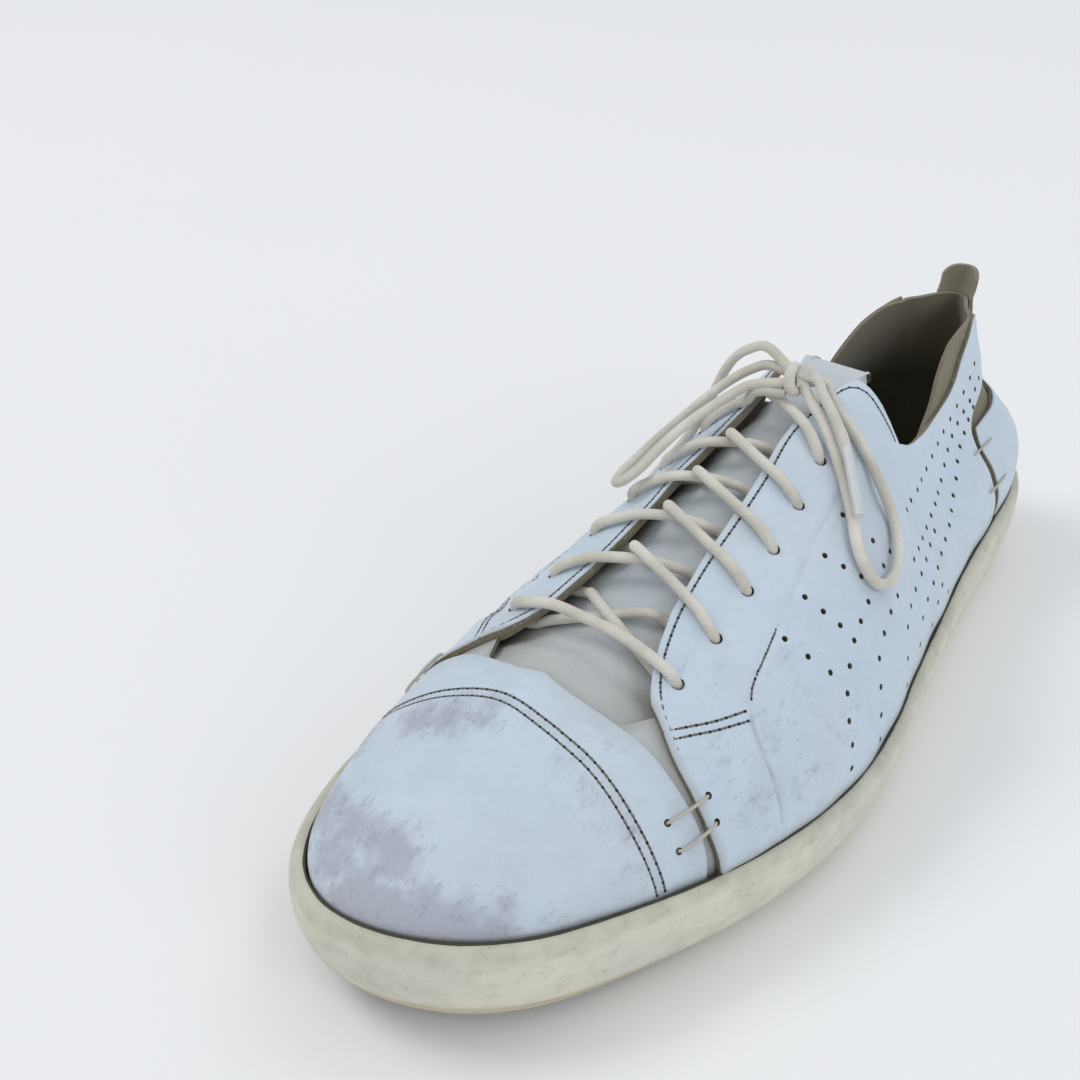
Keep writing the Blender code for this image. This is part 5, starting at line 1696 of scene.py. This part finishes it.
def make_setting():
    """Studio light and the pale floor."""
    world = bpy.data.worlds.new("studio")
    world.use_nodes = True
    background = world.node_tree.nodes["Background"]
    background.inputs["Color"].default_value = (0.93, 0.96, 1.0, 1.0)
    background.inputs["Strength"].default_value = 0.60
    bpy.context.scene.world = world
    bpy.context.scene.view_settings.view_transform = "Standard"
    area_light("key", (-2.3, -1.2, 3.4), TOE_BEND, 1.8, 44.0, (1.0, 0.99, 0.97))
    area_light("fill", (3.2, -0.6, 2.0), MIDDLE, 2.4, 27.0, (0.94, 0.97, 1.0))
    area_light("top", (0.6, 2.2, 3.6), MIDDLE, 2.0, 18.0, (0.97, 0.99, 1.0))
    work = bmesh.new()
    bmesh.ops.create_grid(work, x_segments=8, y_segments=8, size=3.0)
    mesh = bpy.data.meshes.new("floor")
    work.to_mesh(mesh)
    work.free()
    mesh.materials.append(studio_floor())
    floor = added("floor", mesh)


def sew(name, store, material, holes):
    """All the stitches of one thread, with a nearly black dot of painted shade on each of their pricked
    holes.
    """
    middle, way, out, pricks, prick_way, prick_out = (np.vstack(part) for part in zip(*store))
    body = repeat(name, STITCH_TREE, middle, way, out, STITCH_SIZE, material)
    marks = repeat(name + "_pricks", STITCH_TREE, pricks, prick_way, prick_out, PRICK_SIZE, holes)
    return body, marks


def thread_bar(ends, mirror, material):
    """A strand of thread that bridges a gap and goes down into its holes."""
    sign = -1.0 if mirror else 1.0
    (w0, v0), (w1, v1) = ends
    rows = []
    for share, lift in BAR_ARC:
        w = w0 + (w1 - w0) * share
        rows.append((float(ring_u(w * sign)), v0 + (v1 - v0) * share, lift))
    return tube("thread_bar", route(rows, 0.0005), THREAD_RADIUS, 8, material, 0.8)


BALL = {"Segments": 8, "Rings": 6, "Radius": 0.5}
PEG = {"Vertices": 14, "Radius": 0.5, "Depth": 1.0}
STITCH_TREE = repeat_tree("stitches", "GeometryNodeMeshUVSphere", BALL)
HOLE_TREE = repeat_tree("round holes", "GeometryNodeMeshCylinder", PEG)


def main():
    make_camera()
    lace = lace_cotton()
    plastic = aglet_plastic()
    bow, tips = make_bow(lace, plastic)
    make_setting()
    leather = white_leather()
    edge = raw_edge()
    lining_suede = suede("olive lining suede", (0.150, 0.125, 0.080), (0.270, 0.235, 0.160))
    strip_suede = suede("olive tab suede", (0.190, 0.165, 0.110), (0.330, 0.295, 0.215))
    footbed_cloth = suede("footbed lining", (0.120, 0.095, 0.065), (0.230, 0.190, 0.130))
    panel_slots = [leather, lining_suede, edge, leather]
    pieces = []
    lining = make_lining([lining_suede, lining_suede])
    pale_leather = tongue_leather()
    toe_lining = make_toe_lining([pale_leather, lining_suede])
    outer_quarter = make_quarter("outer_quarter", False, panel_slots)
    inner_quarter = make_quarter("inner_quarter", True, panel_slots)
    vamp = make_vamp(panel_slots)
    for piece in (lining, toe_lining, outer_quarter, inner_quarter, vamp):
        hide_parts("upper")
        pieces.append(piece)
    counter = make_counter(panel_slots)
    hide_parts("heel_counter")
    strip = make_heel_strip([strip_suede, strip_suede])
    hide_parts("heel_strip")
    tongue = make_tongue([pale_leather, lining_suede, edge])
    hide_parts("tongue")
    sole = make_sole([cream_rubber(), worn_rubber()])
    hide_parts("sole")
    welt = make_welt(welt_shade_paint())
    footbed = make_footbed([footbed_cloth, footbed_cloth])
    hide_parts("insole")
    lacing = make_lacing(lace)
    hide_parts("lace_bar", "lace_cross_1", "lace_cross_2", "lace_cross_3", "lace_cross_4",
                "lace_cross_5", "lace_top")
    pieces += [counter, strip, tongue, sole, welt, footbed, lacing]

    dark_thread = thread("dark thread", (0.110, 0.108, 0.092), (0.200, 0.192, 0.165))
    pale_thread = thread("pale thread", (0.420, 0.400, 0.340), (0.560, 0.540, 0.470))
    # nearly black dots of painted shade where the stitches go into their holes
    pricked = thread("painted shade of stitch holes", (0.016, 0.016, 0.018), (0.040, 0.040, 0.042))
    store = []
    for mirror in (False, True):
        for line in (EDGE_STITCH, LOWER_EDGE_STITCH, BAR_UPPER, BAR_LOWER, PANEL_STITCH):
            stitch_row(store, on_face(line, PITCH, mirror), lambda at: quarter_relief(at, mirror))
    for ahead in (0.0, TOE_ROW_GAP):
        stitch_row(store, across_toe(ahead, PITCH), vamp_relief)
    pieces += sew("seam_stitches", store, dark_thread, pricked)
    bars = []
    for mirror in (False, True):
        for ends in THREAD_BARS + HEEL_BARS:
            bars.append(thread_bar(ends, mirror, pale_thread))
    pieces.append(join("thread_bars", bars))

    for piece in pieces + list(bow.values()) + list(tips.values()):
        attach(piece, "root")


main()
